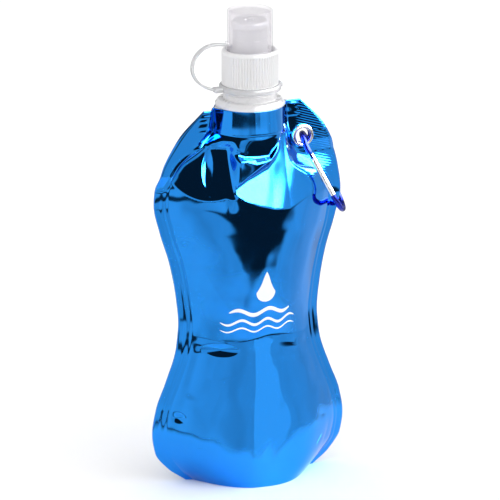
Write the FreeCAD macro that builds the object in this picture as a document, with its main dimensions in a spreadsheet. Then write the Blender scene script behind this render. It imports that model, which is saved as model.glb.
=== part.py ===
"""Folding water bottle: a flat film pouch with a screwed sport spout, a tethered dust cover and a clip.

Millimetres, +Z up, front towards -Y. The origin is the centre of the base, on the floor.
"""
import FreeCAD, Part
import Sketcher

import math
import os

Vector = FreeCAD.Vector
AXIS_X = Vector(1, 0, 0)
AXIS_Z = Vector(0, 0, 1)
FULL_TURN = 360.0
EPSILON = 1e-9
FILM_POINTS = 14
SECTION_STEP = 8.0
ARCH_STEPS = 4
GUSSET_STEPS = 5
GUSSET_FOOT = 0.3
GUSSET_CLEARANCE = 0.3
PLUG_CLEARANCE = 0.15
THREAD_ROOT_SINK = 0.25
FLOW_HOLES = 4
GASKET_SIDE_GAP = 0.2
FLOW_HOLE_DEPTH = 8
STRAP_STEPS = 24
CLIP_CLEARANCE = 0.3
CLIP_END_SETBACK = 1.0
TONGUE_ROOT = 1.5
PIVOT_CLEARANCE = 0.05
LATCH_CLEARANCE = 0.2
NOSE_SLOT_LEAD = 1.0
NOSE_SLOT_SPARE = 0.4
NOSE_SLOT_REACH = 3.0
GATE_CLOSED_END = 1.2
GATE_SLOT_TRIM = 2.0
PLUNGER_LENGTH = 2.5
PLUNGER_CLEARANCE = 0.05
PLUNGER_START_GAP = 0.1
SPRING_START_GAP = 0.15
SPRING_END_GAP = 0.3

# Middle line of the tether strap between the ring's lug and the cover's tab: distance out, height.
STRAP_ROUTE = ((25.6, 215.6), (30.4, 219.9), (32.6, 225.4), (31.4, 231.2), (27.4, 235.6), (21.6, 237.8))

# Driving dimensions, one spreadsheet row each.
SIZES = {
    # film pouch
    "film_wall": 0.9,
    "fold_gap": 0.4,
    "film_top": 204.0,
    "eyelet_x": 29.6,
    "eyelet_height": 184.0,
    "eyelet_hole_radius": 4.85,
    # bottom gusset
    "gusset_half_length": 42.0,
    "gusset_end_rise": 24.0,
    "gusset_arch": 5.0,
    # spout fitment
    "plug_bottom": 192.4,
    "bore_radius": 9.2,
    "collar_bottom": 204.2,
    "collar_radius": 18.5,
    "collar_top_radius": 17.1,
    "collar_top": 207.5,
    "neck_ring_radius": 14.0,
    "neck_ring_top": 211.0,
    "neck_radius": 11.6,
    "neck_top": 226.0,
    # screw thread
    "thread_pitch": 3.5,
    "thread_turns": 2.0,
    "thread_start": 214.0,
    "thread_depth": 1.1,
    "thread_root_width": 1.1,
    "thread_crest_width": 0.6,
    # gasket
    "gasket_bottom": 226.1,
    "gasket_top": 227.8,
    "gasket_radius": 13.0,
    # screw cap
    "cap_bottom": 211.3,
    "cap_radius": 15.0,
    "cap_bore_radius": 13.3,
    "cap_groove_radius": 14.3,
    "cap_bead_top": 212.0,
    "cap_groove_top": 215.5,
    "cap_ceiling": 227.9,
    "cap_floor": 230.9,
    "cap_recess_radius": 12.8,
    "cap_top": 234.0,
    "cap_top_radius": 13.9,
    "cap_rib_top": 231.8,
    "rib_count": 60.0,
    "rib_groove_width": 0.7,
    "rib_groove_depth": 0.45,
    "turret_radius": 8.4,
    "turret_bore_radius": 7.2,
    "turret_top": 243.0,
    "post_radius": 2.2,
    "post_top": 249.6,
    "flow_hole_radius": 1.6,
    "flow_hole_circle": 4.8,
    # push-pull nozzle
    "nozzle_bottom": 231.5,
    "nozzle_skirt_radius": 10.3,
    "nozzle_skirt_top": 233.0,
    "nozzle_radius": 9.2,
    "nozzle_lip_bottom": 245.8,
    "nozzle_lip_radius": 9.9,
    "nozzle_top": 249.7,
    "nozzle_bore_radius": 8.45,
    "nozzle_ceiling": 247.4,
    "nozzle_hole_radius": 2.27,
    # dust cover
    "cover_bottom": 231.2,
    "cover_bead_radius": 12.4,
    "cover_bead_top": 232.6,
    "cover_radius": 12.0,
    "cover_bore_radius": 11.1,
    "cover_ceiling": 253.6,
    "cover_plate_top": 254.5,
    "cover_top": 255.3,
    "cover_rim_radius": 10.9,
    "cover_tab_reach": 13.6,
    "cover_tab_width": 4.0,
    "cover_tab_bottom": 234.5,
    "cover_tab_top": 239.0,
    # tether
    "tether_bottom": 212.1,
    "tether_top": 215.3,
    "tether_bore_radius": 14.36,
    "tether_radius": 16.3,
    "lug_reach": 20.5,
    "lug_width": 5.0,
    "lug_top": 214.6,
    "button_reach": 17.8,
    "button_width": 4.0,
    "strap_thickness": 1.2,
    "strap_width": 3.0,
    "strap_gap": 0.3,
    "strap_root_height": 213.5,
    "strap_end_height": 237.2,
    # eyelet
    "barrel_bore_radius": 4.0,
    "barrel_radius": 4.7,
    "eyelet_flange_radius": 6.2,
    "eyelet_flange_rise": 1.1,
    "washer_bore_radius": 4.75,
    "washer_thickness": 0.7,
    "barrel_curl_radius": 5.5,
    "barrel_curl_thickness": 0.5,
    # clip
    "clip_tilt": 60.6,
    "clip_twist": 20.0,
    "clip_length": 48.0,
    "clip_small_radius": 8.0,
    "clip_big_radius": 11.5,
    "clip_rod_radius": 1.5,
    "gate_radius": 1.6,
    "gate_bore_radius": 1.0,
    "gate_hinge_run": 3.0,
    "gate_length": 24.0,
    "gate_tail": 1.7,
    "gate_slot_width": 1.3,
    "gate_slot_length": 4.6,
    "tongue_thickness": 1.1,
    "tongue_radius": 1.2,
    "pivot_radius": 0.5,
    "latch_radius": 0.7,
    "latch_reach": 1.8,
    "spring_radius": 0.75,
    "spring_wire": 0.12,
    "spring_turns": 9.0,
}

# Cross-sections of the pouch: name, height, half width, seal edge left, seal edge right,
# half depth, and the power of the bulge (2 is a lens, more is fuller).
STATIONS = (
    ("rim", 0.0, 36.5, 33.0, 33.0, 25.6, 2.4),
    ("heel", 7.0, 46.2, 40.7, 40.7, 24.9, 2.4),
    ("hip_low", 16.0, 53.0, 46.6, 46.6, 23.9, 2.35),
    ("hip", 27.0, 54.7, 48.3, 48.3, 22.5, 2.3),
    ("hip_high", 40.0, 52.6, 46.2, 46.2, 20.6, 2.2),
    ("thigh", 55.0, 46.9, 40.5, 40.5, 18.3, 2.1),
    ("waist_low", 71.0, 41.4, 35.0, 35.0, 15.7, 2.0),
    ("fold", 79.0, 40.2, 33.8, 33.8, 14.5, 2.0),
    ("waist", 87.0, 39.6, 33.2, 33.2, 15.2, 2.0),
    ("ribs_low", 102.0, 41.0, 34.6, 34.6, 17.0, 2.0),
    ("ribs", 120.0, 44.4, 38.0, 38.0, 19.0, 2.0),
    ("chest", 138.0, 49.9, 43.5, 43.0, 20.1, 2.0),
    ("shoulder", 153.0, 53.1, 46.7, 45.0, 20.3, 2.0),
    ("collarbone", 164.0, 52.0, 45.6, 40.0, 19.9, 2.0),
    ("eyelet_low", 174.0, 49.7, 41.0, 27.0, 19.1, 2.1),
    ("weld_low", 186.0, 44.0, 27.0, 21.6, 17.2, 2.5),
    ("weld", 192.0, 40.2, 21.2, 21.2, 16.4, 2.6),
    ("film_edge", 204.0, 28.5, 20.5, 20.5, 16.0, 2.6),
)
STATION_FIELDS = ("height", "half_width", "seal_left", "seal_right", "half_depth", "fullness")


def make_sheet(doc):
    """Put every driving dimension in the spreadsheet, as text with an alias."""
    sheet = doc.addObject("Spreadsheet::Sheet", "Sizes")
    rows = list(SIZES.items())
    for name, *values in STATIONS:
        rows += [(f"{name}_{field}", value) for field, value in zip(STATION_FIELDS, values)]
    for number, (alias, value) in enumerate(rows, 1):
        sheet.set(f"A{number}", alias)
        sheet.set(f"B{number}", str(value))
        sheet.setAlias(f"B{number}", alias)
    doc.recompute()
    return sheet


def cell(sheet, alias):
    return float(sheet.get(alias))


# ---------------------------------------------------------------- shared makers


def origin_plane(body, role):
    return next(item for item in body.Origin.OriginFeatures if item.Role == role)


def sketch_on(body, name, role):
    sketch = body.newObject("Sketcher::SketchObject", name)
    sketch.AttachmentSupport = [(origin_plane(body, role), "")]
    sketch.MapMode = "FlatFace"
    return sketch


def closed_outline(sketch, corners):
    """Draw a closed polygon whose corners are pairs of expressions: distance from the axis, height."""
    measured = [[float(sketch.evalExpression(text)) for text in corner] for corner in corners]
    points = [Vector(across, up, 0) for across, up in measured]
    count = len(points)
    for index, point in enumerate(points):
        sketch.addGeometry(Part.LineSegment(point, points[(index + 1) % count]), False)
    for index in range(count):
        sketch.addConstraint(Sketcher.Constraint("Coincident", index, 2, (index + 1) % count, 1))
    for index, corner in enumerate(corners):
        for kind, expression, value in zip(("DistanceX", "DistanceY"), corner, measured[index]):
            if abs(value) < EPSILON:
                direction = "Vertical" if kind == "DistanceX" else "Horizontal"
                sketch.addConstraint(Sketcher.Constraint(direction, -1, 1, index, 1))
                continue
            number = sketch.addConstraint(Sketcher.Constraint(kind, -1, 1, index, 1, value))
            sketch.setExpression(f"Constraints[{number}]", expression)


def turned_body(doc, label, corners):
    """A body of revolution about Z, from an outline of (radius, height) expressions."""
    body = doc.addObject("PartDesign::Body", label)
    body.Label = label
    sketch = sketch_on(body, f"{label}_outline", "XZ_Plane")
    closed_outline(sketch, corners)
    turn = body.newObject("PartDesign::Revolution", f"{label}_turn")
    turn.Profile = sketch
    turn.ReferenceAxis = (sketch, ["V_Axis"])
    turn.Angle = FULL_TURN
    doc.recompute()
    return body


def plain_part(doc, label, shape, placement=None):
    item = doc.addObject("Part::Feature", label)
    item.Label = label
    item.Shape = shape
    if placement is not None:
        item.Placement = placement
    return item


def spline_edge(points):
    curve = Part.BSplineCurve()
    curve.interpolate(points)
    return curve.toShape()


def cut_from(doc, label, base, tool):
    result = doc.addObject("Part::Cut", label)
    result.Label = label
    result.Base = base
    result.Tool = tool
    return result


def fused(doc, label, items):
    result = doc.addObject("Part::MultiFuse", label)
    result.Label = label
    result.Shapes = items
    return result


def bound_cylinder(doc, name, radius, height, bottom):
    item = doc.addObject("Part::Cylinder", name)
    item.setExpression("Radius", radius)
    item.setExpression("Height", height)
    item.setExpression("Placement.Base.z", bottom)
    return item


def bound_box(doc, name, low, high):
    """A box between two corners, each three expressions."""
    item = doc.addObject("Part::Box", name)
    for side, start, end in zip(("Length", "Width", "Height"), low, high):
        item.setExpression(side, f"({end}) - ({start})")
    for letter, start in zip("xyz", low):
        item.setExpression(f"Placement.Base.{letter}", start)
    return item


# ---------------------------------------------------------------- film pouch


def bulge(across, seal_left, seal_right, half_depth, fullness):
    """Half depth of the pouch at a distance from the middle: full in the middle, zero at the seals."""
    seal = seal_left if across < 0 else seal_right
    return half_depth * max(0.0, 1 - abs(across / seal) ** fullness)


def station_value(sheet, field, height):
    """A station field at any height: a smooth curve through the stations that never overshoots them."""
    rows = [(cell(sheet, f"{row[0]}_height"), cell(sheet, f"{row[0]}_{field}")) for row in STATIONS]
    steps = [(after[1] - before[1]) / (after[0] - before[0]) for before, after in zip(rows, rows[1:])]
    slopes = [steps[0]]
    for before, after in zip(steps, steps[1:]):
        same_way = before * after > 0
        slopes.append(2 * before * after / (before + after) if same_way else 0.0)
    slopes.append(steps[-1])
    last = len(rows) - 2
    index = next((spot for spot in range(last) if height <= rows[spot + 1][0]), last)
    (low, start), (high, end) = rows[index], rows[index + 1]
    run = high - low
    share = (height - low) / run
    rise = share * share * (3 - 2 * share)
    lean_in = slopes[index] * run * share * (1 - share) ** 2
    lean_out = slopes[index + 1] * run * share * share * (1 - share)
    return start + (end - start) * rise + lean_in - lean_out


def film_line(sheet, height, side, offset):
    """Edges of one cross-section line: left seal flange, bulged film, right seal flange."""
    half_width, seal_left, seal_right, half_depth, fullness = (
        station_value(sheet, field, height) for field in STATION_FIELDS[1:])
    film = []
    for index in range(FILM_POINTS + 1):
        turn = -math.cos(math.pi * index / FILM_POINTS)
        across = turn * (seal_left if turn < 0 else seal_right)
        depth = bulge(across, seal_left, seal_right, half_depth, fullness)
        film.append(Vector(across, side * (depth + offset), height))
    left = Vector(-half_width, side * offset, height)
    right = Vector(half_width, side * offset, height)
    return [Part.LineSegment(left, film[0]).toShape(), spline_edge(film),
            Part.LineSegment(film[-1], right).toShape()]


def film_section(sheet, height, side):
    """Closed cross-section wire of one film wall."""
    wall = cell(sheet, "film_wall")
    inner = film_line(sheet, height, side, 0.0)
    outer = film_line(sheet, height, side, wall)
    inner_right = inner[-1].Vertexes[-1].Point
    inner_left = inner[0].Vertexes[0].Point
    right_end = Part.LineSegment(inner_right, outer[-1].Vertexes[-1].Point).toShape()
    left_end = Part.LineSegment(outer[0].Vertexes[0].Point, inner_left).toShape()
    return Part.Wire(inner + [right_end] + outer[::-1] + [left_end])


def film_wall(sheet, low, high, side):
    """One wall of the pouch between two heights, through evenly spaced sections."""
    count = round((high - low) / SECTION_STEP)
    heights = [low + (high - low) * number / count for number in range(count + 1)]
    return Part.makeLoft([film_section(sheet, height, side) for height in heights], True, False)


def lower_panel(doc, sheet, label, side):
    top = cell(sheet, "waist_height") - cell(sheet, "fold_gap") / 2
    return plain_part(doc, label, film_wall(sheet, 0.0, top, side))


def upper_panel(doc, sheet, label, side):
    bottom = cell(sheet, "waist_height") + cell(sheet, "fold_gap") / 2
    wall = film_wall(sheet, bottom, cell(sheet, "film_top"), side)
    reach = 4 * cell(sheet, "film_wall")
    spot = Vector(cell(sheet, "eyelet_x"), -reach, cell(sheet, "eyelet_height"))
    hole = Part.makeCylinder(cell(sheet, "eyelet_hole_radius"), 2 * reach, spot, Vector(0, 1, 0))
    return plain_part(doc, label, wall.cut(hole))


def gusset_section(sheet, across):
    """Closed arch across the pouch, front to back, at a distance from the middle."""
    share = abs(across) / cell(sheet, "gusset_half_length")
    foot = GUSSET_FOOT + cell(sheet, "gusset_end_rise") * share ** 2
    wall = cell(sheet, "film_wall")
    seal = station_value(sheet, "seal_left", foot)
    depth = station_value(sheet, "half_depth", foot)
    fullness = station_value(sheet, "fullness", foot)
    reach = bulge(across, seal, seal, depth, fullness) - GUSSET_CLEARANCE
    arch = cell(sheet, "gusset_arch") * (1 - share ** 2)
    lines = []
    for lift in (0.0, wall):
        lines.append([
            Vector(across, reach * step / ARCH_STEPS,
                   foot + lift + arch * (1 - (step / ARCH_STEPS) ** 2))
            for step in range(-ARCH_STEPS, ARCH_STEPS + 1)
        ])
    under, over = lines
    front = Part.LineSegment(over[0], under[0]).toShape()
    back = Part.LineSegment(under[-1], over[-1]).toShape()
    return Part.Wire([spline_edge(under), back, spline_edge(over), front])


def bottom_gusset(doc, sheet):
    half_length = cell(sheet, "gusset_half_length")
    spots = [half_length * step / GUSSET_STEPS for step in range(-GUSSET_STEPS, GUSSET_STEPS + 1)]
    shape = Part.makeLoft([gusset_section(sheet, across) for across in spots], True, False)
    return plain_part(doc, "bottom_gusset", shape)


# ---------------------------------------------------------------- spout


def plug_section(sheet, height):
    """Outline of the welded plug: the film's inner shape with a little clearance."""
    seal = station_value(sheet, "seal_left", height) - PLUG_CLEARANCE
    depth = station_value(sheet, "half_depth", height) - PLUG_CLEARANCE
    fullness = station_value(sheet, "fullness", height)
    edges = []
    for side in (-1, 1):
        points = []
        for index in range(FILM_POINTS + 1):
            across = -side * seal * math.cos(math.pi * index / FILM_POINTS)
            swell = bulge(across, seal, seal, depth, fullness)
            points.append(Vector(across, side * swell, height))
        edges.append(spline_edge(points))
    return Part.Wire(edges)


def welded_plug(sheet):
    low = cell(sheet, "plug_bottom")
    high = cell(sheet, "film_top")
    heights = [low, (low + high) / 2, high]
    return Part.makeLoft([plug_section(sheet, height) for height in heights], True, False)


def thread_ridge(sheet, radius, outward, start):
    """A helical ridge rooted in a wall at radius, pointing out (1) or in (-1)."""
    pitch = cell(sheet, "thread_pitch")
    root = radius - outward * THREAD_ROOT_SINK
    crest = radius + outward * cell(sheet, "thread_depth")
    half_root = cell(sheet, "thread_root_width") / 2
    half_crest = cell(sheet, "thread_crest_width") / 2
    corners = [Vector(root, 0, -half_root), Vector(crest, 0, -half_crest),
               Vector(crest, 0, half_crest), Vector(root, 0, half_root)]
    profile = Part.makePolygon(corners + corners[:1])
    helix = Part.makeHelix(pitch, pitch * cell(sheet, "thread_turns"), radius)
    ridge = Part.Wire(helix.Edges).makePipeShell([profile], True, True)
    ridge.translate(Vector(0, 0, start))
    return ridge


def spout_fitment(doc, sheet):
    neck = turned_body(doc, "fitment_neck", [
        ("0", "Sizes.collar_bottom - 2"),
        ("Sizes.neck_ring_radius", "Sizes.collar_bottom - 2"),
        ("Sizes.neck_ring_radius", "Sizes.collar_bottom"),
        ("Sizes.collar_radius", "Sizes.collar_bottom"),
        ("Sizes.collar_radius - 0.1", "Sizes.collar_bottom + 1.2"),
        ("Sizes.collar_top_radius", "Sizes.collar_top - 0.6"),
        ("Sizes.collar_top_radius - 0.5", "Sizes.collar_top"),
        ("Sizes.neck_ring_radius", "Sizes.collar_top"),
        ("Sizes.neck_ring_radius", "Sizes.neck_ring_top - 0.4"),
        ("Sizes.neck_ring_radius - 0.4", "Sizes.neck_ring_top"),
        ("Sizes.neck_radius", "Sizes.neck_ring_top"),
        ("Sizes.neck_radius", "Sizes.neck_top - 0.6"),
        ("Sizes.neck_radius - 0.6", "Sizes.neck_top"),
        ("0", "Sizes.neck_top"),
    ])
    plug = plain_part(doc, "fitment_plug", welded_plug(sheet))
    start = cell(sheet, "thread_start")
    ridge = plain_part(doc, "fitment_thread",
                       thread_ridge(sheet, cell(sheet, "neck_radius"), 1, start))
    solid = fused(doc, "fitment_solid", [neck, plug, ridge])
    depth = "Sizes.neck_top - Sizes.plug_bottom + 2"
    bore = bound_cylinder(doc, "fitment_bore", "Sizes.bore_radius", depth, "Sizes.plug_bottom - 1")
    return cut_from(doc, "spout_fitment", solid, bore)


def cap_gasket(doc):
    return turned_body(doc, "cap_gasket", [
        (f"Sizes.bore_radius + {GASKET_SIDE_GAP}", "Sizes.gasket_bottom"),
        ("Sizes.gasket_radius", "Sizes.gasket_bottom"),
        ("Sizes.gasket_radius", "Sizes.gasket_top"),
        (f"Sizes.bore_radius + {GASKET_SIDE_GAP}", "Sizes.gasket_top"),
    ])


def ribbed_shell(doc):
    """The cap's turned shell with its grip grooves and flow holes."""
    body = turned_body(doc, "cap_shell", [
        ("0", "Sizes.cap_ceiling"),
        ("Sizes.cap_bore_radius", "Sizes.cap_ceiling"),
        ("Sizes.cap_bore_radius", "Sizes.cap_bottom"),
        ("Sizes.cap_radius - 0.1", "Sizes.cap_bottom"),
        ("Sizes.cap_radius - 0.1", "Sizes.cap_bead_top - 0.3"),
        ("Sizes.cap_groove_radius", "Sizes.cap_bead_top"),
        ("Sizes.cap_groove_radius", "Sizes.cap_groove_top"),
        ("Sizes.cap_radius", "Sizes.cap_groove_top"),
        ("Sizes.cap_radius", "Sizes.cap_top - 1.6"),
        ("Sizes.cap_radius - 0.35", "Sizes.cap_top - 0.7"),
        ("Sizes.cap_top_radius", "Sizes.cap_top"),
        ("Sizes.cap_recess_radius + 0.3", "Sizes.cap_top"),
        ("Sizes.cap_recess_radius", "Sizes.cap_top - 0.3"),
        ("Sizes.cap_recess_radius", "Sizes.cap_floor"),
        ("Sizes.turret_radius", "Sizes.cap_floor"),
        ("Sizes.turret_radius", "Sizes.turret_top - 0.4"),
        ("Sizes.turret_radius - 0.4", "Sizes.turret_top"),
        ("Sizes.turret_bore_radius", "Sizes.turret_top"),
        ("Sizes.turret_bore_radius", "Sizes.cap_floor"),
        ("Sizes.post_radius", "Sizes.cap_floor"),
        ("Sizes.post_radius", "Sizes.post_top - 0.5"),
        ("Sizes.post_radius - 0.5", "Sizes.post_top"),
        ("0", "Sizes.post_top"),
    ])
    groove_sketch = sketch_on(body, "rib_groove_outline", "XY_Plane")
    closed_outline(groove_sketch, [
        ("Sizes.cap_radius - Sizes.rib_groove_depth", "-Sizes.rib_groove_width / 4"),
        ("Sizes.cap_radius + 0.5", "-Sizes.rib_groove_width / 2"),
        ("Sizes.cap_radius + 0.5", "Sizes.rib_groove_width / 2"),
        ("Sizes.cap_radius - Sizes.rib_groove_depth", "Sizes.rib_groove_width / 4"),
    ])
    groove_sketch.setExpression("AttachmentOffset.Base.z", "Sizes.cap_groove_top")
    groove = body.newObject("PartDesign::Pocket", "rib_groove")
    groove.Profile = groove_sketch
    groove.Reversed = True
    groove.setExpression("Length", "Sizes.cap_rib_top - Sizes.cap_groove_top")
    body.Tip = groove
    doc.recompute()
    ribs = body.newObject("PartDesign::PolarPattern", "rib_grooves")
    ribs.Originals = [groove]
    ribs.Axis = (groove_sketch, ["N_Axis"])
    ribs.Angle = FULL_TURN
    ribs.setExpression("Occurrences", "Sizes.rib_count")
    body.Tip = ribs
    doc.recompute()
    return body


def screw_cap(doc, sheet):
    shell = ribbed_shell(doc)
    start = cell(sheet, "thread_start") + cell(sheet, "thread_pitch") / 2
    ridge = plain_part(doc, "cap_thread",
                       thread_ridge(sheet, cell(sheet, "cap_bore_radius"), -1, start))
    threaded = fused(doc, "threaded_cap", [shell, ridge])
    holes = []
    for number in range(FLOW_HOLES):
        hole = bound_cylinder(doc, f"flow_hole_{number}", "Sizes.flow_hole_radius",
                              str(FLOW_HOLE_DEPTH), "Sizes.cap_ceiling - 2")
        angle = FULL_TURN * number / FLOW_HOLES
        hole.setExpression("Placement.Base.x", f"Sizes.flow_hole_circle * cos({angle})")
        hole.setExpression("Placement.Base.y", f"Sizes.flow_hole_circle * sin({angle})")
        holes.append(hole)
    return cut_from(doc, "screw_cap", threaded, fused(doc, "flow_holes", holes))


def nozzle(doc):
    return turned_body(doc, "nozzle", [
        ("Sizes.nozzle_bore_radius", "Sizes.nozzle_bottom"),
        ("Sizes.nozzle_skirt_radius", "Sizes.nozzle_bottom"),
        ("Sizes.nozzle_skirt_radius", "Sizes.nozzle_skirt_top - 0.4"),
        ("Sizes.nozzle_skirt_radius - 0.4", "Sizes.nozzle_skirt_top"),
        ("Sizes.nozzle_radius + 0.2", "Sizes.nozzle_skirt_top"),
        ("Sizes.nozzle_radius", "Sizes.nozzle_skirt_top + 2"),
        ("Sizes.nozzle_radius", "Sizes.nozzle_lip_bottom"),
        ("Sizes.nozzle_lip_radius", "Sizes.nozzle_lip_bottom + 0.4"),
        ("Sizes.nozzle_lip_radius", "Sizes.nozzle_top - 0.9"),
        ("Sizes.nozzle_lip_radius - 0.9", "Sizes.nozzle_top"),
        ("Sizes.nozzle_hole_radius + 0.5", "Sizes.nozzle_top"),
        ("Sizes.nozzle_hole_radius", "Sizes.nozzle_top - 0.5"),
        ("Sizes.nozzle_hole_radius", "Sizes.nozzle_ceiling"),
        ("Sizes.nozzle_bore_radius", "Sizes.nozzle_ceiling"),
    ])


def dust_cover(doc):
    shell = turned_body(doc, "cover_shell", [
        ("0", "Sizes.cover_ceiling"),
        ("Sizes.cover_bore_radius", "Sizes.cover_ceiling"),
        ("Sizes.cover_bore_radius", "Sizes.cover_bottom"),
        ("Sizes.cover_bead_radius", "Sizes.cover_bottom"),
        ("Sizes.cover_bead_radius", "Sizes.cover_bead_top"),
        ("Sizes.cover_radius", "Sizes.cover_bead_top + 0.3"),
        ("Sizes.cover_radius", "Sizes.cover_top - 0.4"),
        ("Sizes.cover_radius - 0.4", "Sizes.cover_top"),
        ("Sizes.cover_rim_radius", "Sizes.cover_top"),
        ("Sizes.cover_rim_radius", "Sizes.cover_plate_top"),
        ("0", "Sizes.cover_plate_top"),
    ])
    tab = bound_box(doc, "cover_tab",
                    ("-Sizes.cover_tab_reach", "-Sizes.cover_tab_width / 2", "Sizes.cover_tab_bottom"),
                    ("-Sizes.cover_radius + 0.4", "Sizes.cover_tab_width / 2", "Sizes.cover_tab_top"))
    return fused(doc, "dust_cover", [shell, tab])


def tether_ring(doc):
    ring = turned_body(doc, "tether_band", [
        ("Sizes.tether_bore_radius", "Sizes.tether_bottom"),
        ("Sizes.tether_radius - 0.4", "Sizes.tether_bottom"),
        ("Sizes.tether_radius", "Sizes.tether_bottom + 0.4"),
        ("Sizes.tether_radius", "Sizes.tether_top - 0.8"),
        ("Sizes.tether_radius - 0.8", "Sizes.tether_top"),
        ("Sizes.tether_bore_radius", "Sizes.tether_top"),
    ])
    lug = bound_box(doc, "strap_lug",
                    ("-Sizes.lug_reach", "-Sizes.lug_width / 2", "Sizes.tether_bottom"),
                    ("-Sizes.tether_radius + 0.8", "Sizes.lug_width / 2", "Sizes.lug_top"))
    button = bound_box(doc, "tether_button",
                       ("Sizes.tether_radius - 0.8", "-Sizes.button_width / 2", "Sizes.tether_bottom"),
                       ("Sizes.button_reach", "Sizes.button_width / 2", "Sizes.lug_top"))
    return fused(doc, "tether_ring", [ring, lug, button])


def tether_strap(doc, sheet):
    """The flexible strip: a flat loop from the lug out and back to the cover's tab."""
    half = cell(sheet, "strap_thickness") / 2
    tab_face = cell(sheet, "cover_tab_reach") + cell(sheet, "strap_gap")
    root = (cell(sheet, "lug_reach"), cell(sheet, "strap_root_height"))
    end = (tab_face, cell(sheet, "strap_end_height"))
    middle = [Vector(-across, 0, height) for across, height in (root, *STRAP_ROUTE, end)]
    line = Part.BSplineCurve()
    line.interpolate(middle)
    sides = []
    for offset in (-half, half):
        points = []
        for step in range(STRAP_STEPS + 1):
            spot = line.FirstParameter + (line.LastParameter - line.FirstParameter) * step / STRAP_STEPS
            along = line.tangent(spot)[0]
            points.append(line.value(spot) + Vector(-along.z, 0, along.x) * offset)
        points[0].x = -cell(sheet, "lug_reach")
        points[-1].x = -tab_face
        sides.append(points)
    inner, outer = sides
    edges = [spline_edge(inner), Part.LineSegment(inner[-1], outer[-1]).toShape(),
             spline_edge(outer[::-1]), Part.LineSegment(outer[0], inner[0]).toShape()]
    width = cell(sheet, "strap_width")
    face = Part.Face(Part.Wire(edges))
    face.translate(Vector(0, -width / 2, 0))
    return plain_part(doc, "tether_strap", face.extrude(Vector(0, width, 0)))


# ---------------------------------------------------------------- eyelet


def eyelet_placement(sheet):
    """Local +Z points out of the front of the pouch, from the middle of the film."""
    spot = Vector(cell(sheet, "eyelet_x"), 0, cell(sheet, "eyelet_height"))
    return FreeCAD.Placement(spot, FreeCAD.Rotation(AXIS_X, 90))


def eyelet_barrel(doc, sheet):
    washer_back = "-Sizes.film_wall - Sizes.washer_thickness"
    curl_back = f"{washer_back} - Sizes.barrel_curl_thickness"
    body = turned_body(doc, "eyelet_barrel", [
        ("Sizes.barrel_bore_radius", curl_back),
        ("Sizes.barrel_curl_radius", curl_back),
        ("Sizes.barrel_curl_radius", washer_back),
        ("Sizes.barrel_radius", washer_back),
        ("Sizes.barrel_radius", "Sizes.film_wall"),
        ("Sizes.eyelet_flange_radius", "Sizes.film_wall"),
        ("Sizes.eyelet_flange_radius - 0.2", "Sizes.film_wall + 0.5"),
        ("Sizes.eyelet_flange_radius - 0.8", "Sizes.film_wall + Sizes.eyelet_flange_rise - 0.1"),
        ("Sizes.barrel_bore_radius + 0.6", "Sizes.film_wall + Sizes.eyelet_flange_rise"),
        ("Sizes.barrel_bore_radius", "Sizes.film_wall + Sizes.eyelet_flange_rise - 0.6"),
    ])
    body.Placement = eyelet_placement(sheet)
    return body


def eyelet_washer(doc, sheet):
    body = turned_body(doc, "eyelet_washer", [
        ("Sizes.washer_bore_radius", "-Sizes.film_wall - Sizes.washer_thickness"),
        ("Sizes.eyelet_flange_radius", "-Sizes.film_wall - Sizes.washer_thickness"),
        ("Sizes.eyelet_flange_radius", "-Sizes.film_wall"),
        ("Sizes.washer_bore_radius", "-Sizes.film_wall"),
    ])
    body.Placement = eyelet_placement(sheet)
    return body


# ---------------------------------------------------------------- clip


class ClipLayout:
    """The clip's own plane: X along the clip from its small end, Y towards the gate side."""

    def __init__(self, sheet):
        self.small = cell(sheet, "clip_small_radius")
        self.big = cell(sheet, "clip_big_radius")
        self.length = cell(sheet, "clip_length")
        span = self.length - self.small - self.big
        self.slope = math.asin((self.big - self.small) / span)
        self.small_centre = Vector(self.small, 0, 0)
        self.big_centre = Vector(self.length - self.big, 0, 0)
        self.along_gate = Vector(math.cos(self.slope), math.sin(self.slope), 0)
        self.small_tangent = self.small_centre + self.outward(1) * self.small
        self.big_tangent = self.big_centre + self.outward(1) * self.big
        self.hinge = self.small_tangent + self.along_gate * cell(sheet, "gate_hinge_run")
        tilt = math.radians(cell(sheet, "clip_tilt"))
        twist = math.radians(cell(sheet, "clip_twist"))
        along = Vector(math.cos(tilt), 0, -math.sin(tilt))
        front = Vector(0, -1, 0)
        beside = Vector(-math.sin(tilt), 0, -math.cos(tilt))
        across = front * math.cos(twist) + beside * math.sin(twist)
        normal = along.cross(across)
        eyelet = Vector(cell(sheet, "eyelet_x"), 0, cell(sheet, "eyelet_height"))
        matrix = FreeCAD.Matrix(
            along.x, across.x, normal.x, eyelet.x,
            along.y, across.y, normal.y, eyelet.y,
            along.z, across.z, normal.z, eyelet.z,
            0, 0, 0, 1)
        self.placement = FreeCAD.Placement(matrix)
        self.gate_turn = FreeCAD.Rotation(AXIS_Z, math.degrees(self.slope))
        self.gate_placement = self.placement * FreeCAD.Placement(self.hinge, self.gate_turn)

    def outward(self, side):
        return Vector(-math.sin(self.slope), side * math.cos(self.slope), 0)

    def mirrored(self, point):
        return Vector(point.x, -point.y, 0)


def rod_along(path, radius):
    """Sweep a round section along a wire of lines and tangent arcs."""
    start = path.OrderedVertexes[0].Point
    heading = path.OrderedEdges[0].tangentAt(path.OrderedEdges[0].FirstParameter)
    section = Part.Wire(Part.Circle(start, heading, radius).toShape())
    return path.makePipeShell([section], True, False)


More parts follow.
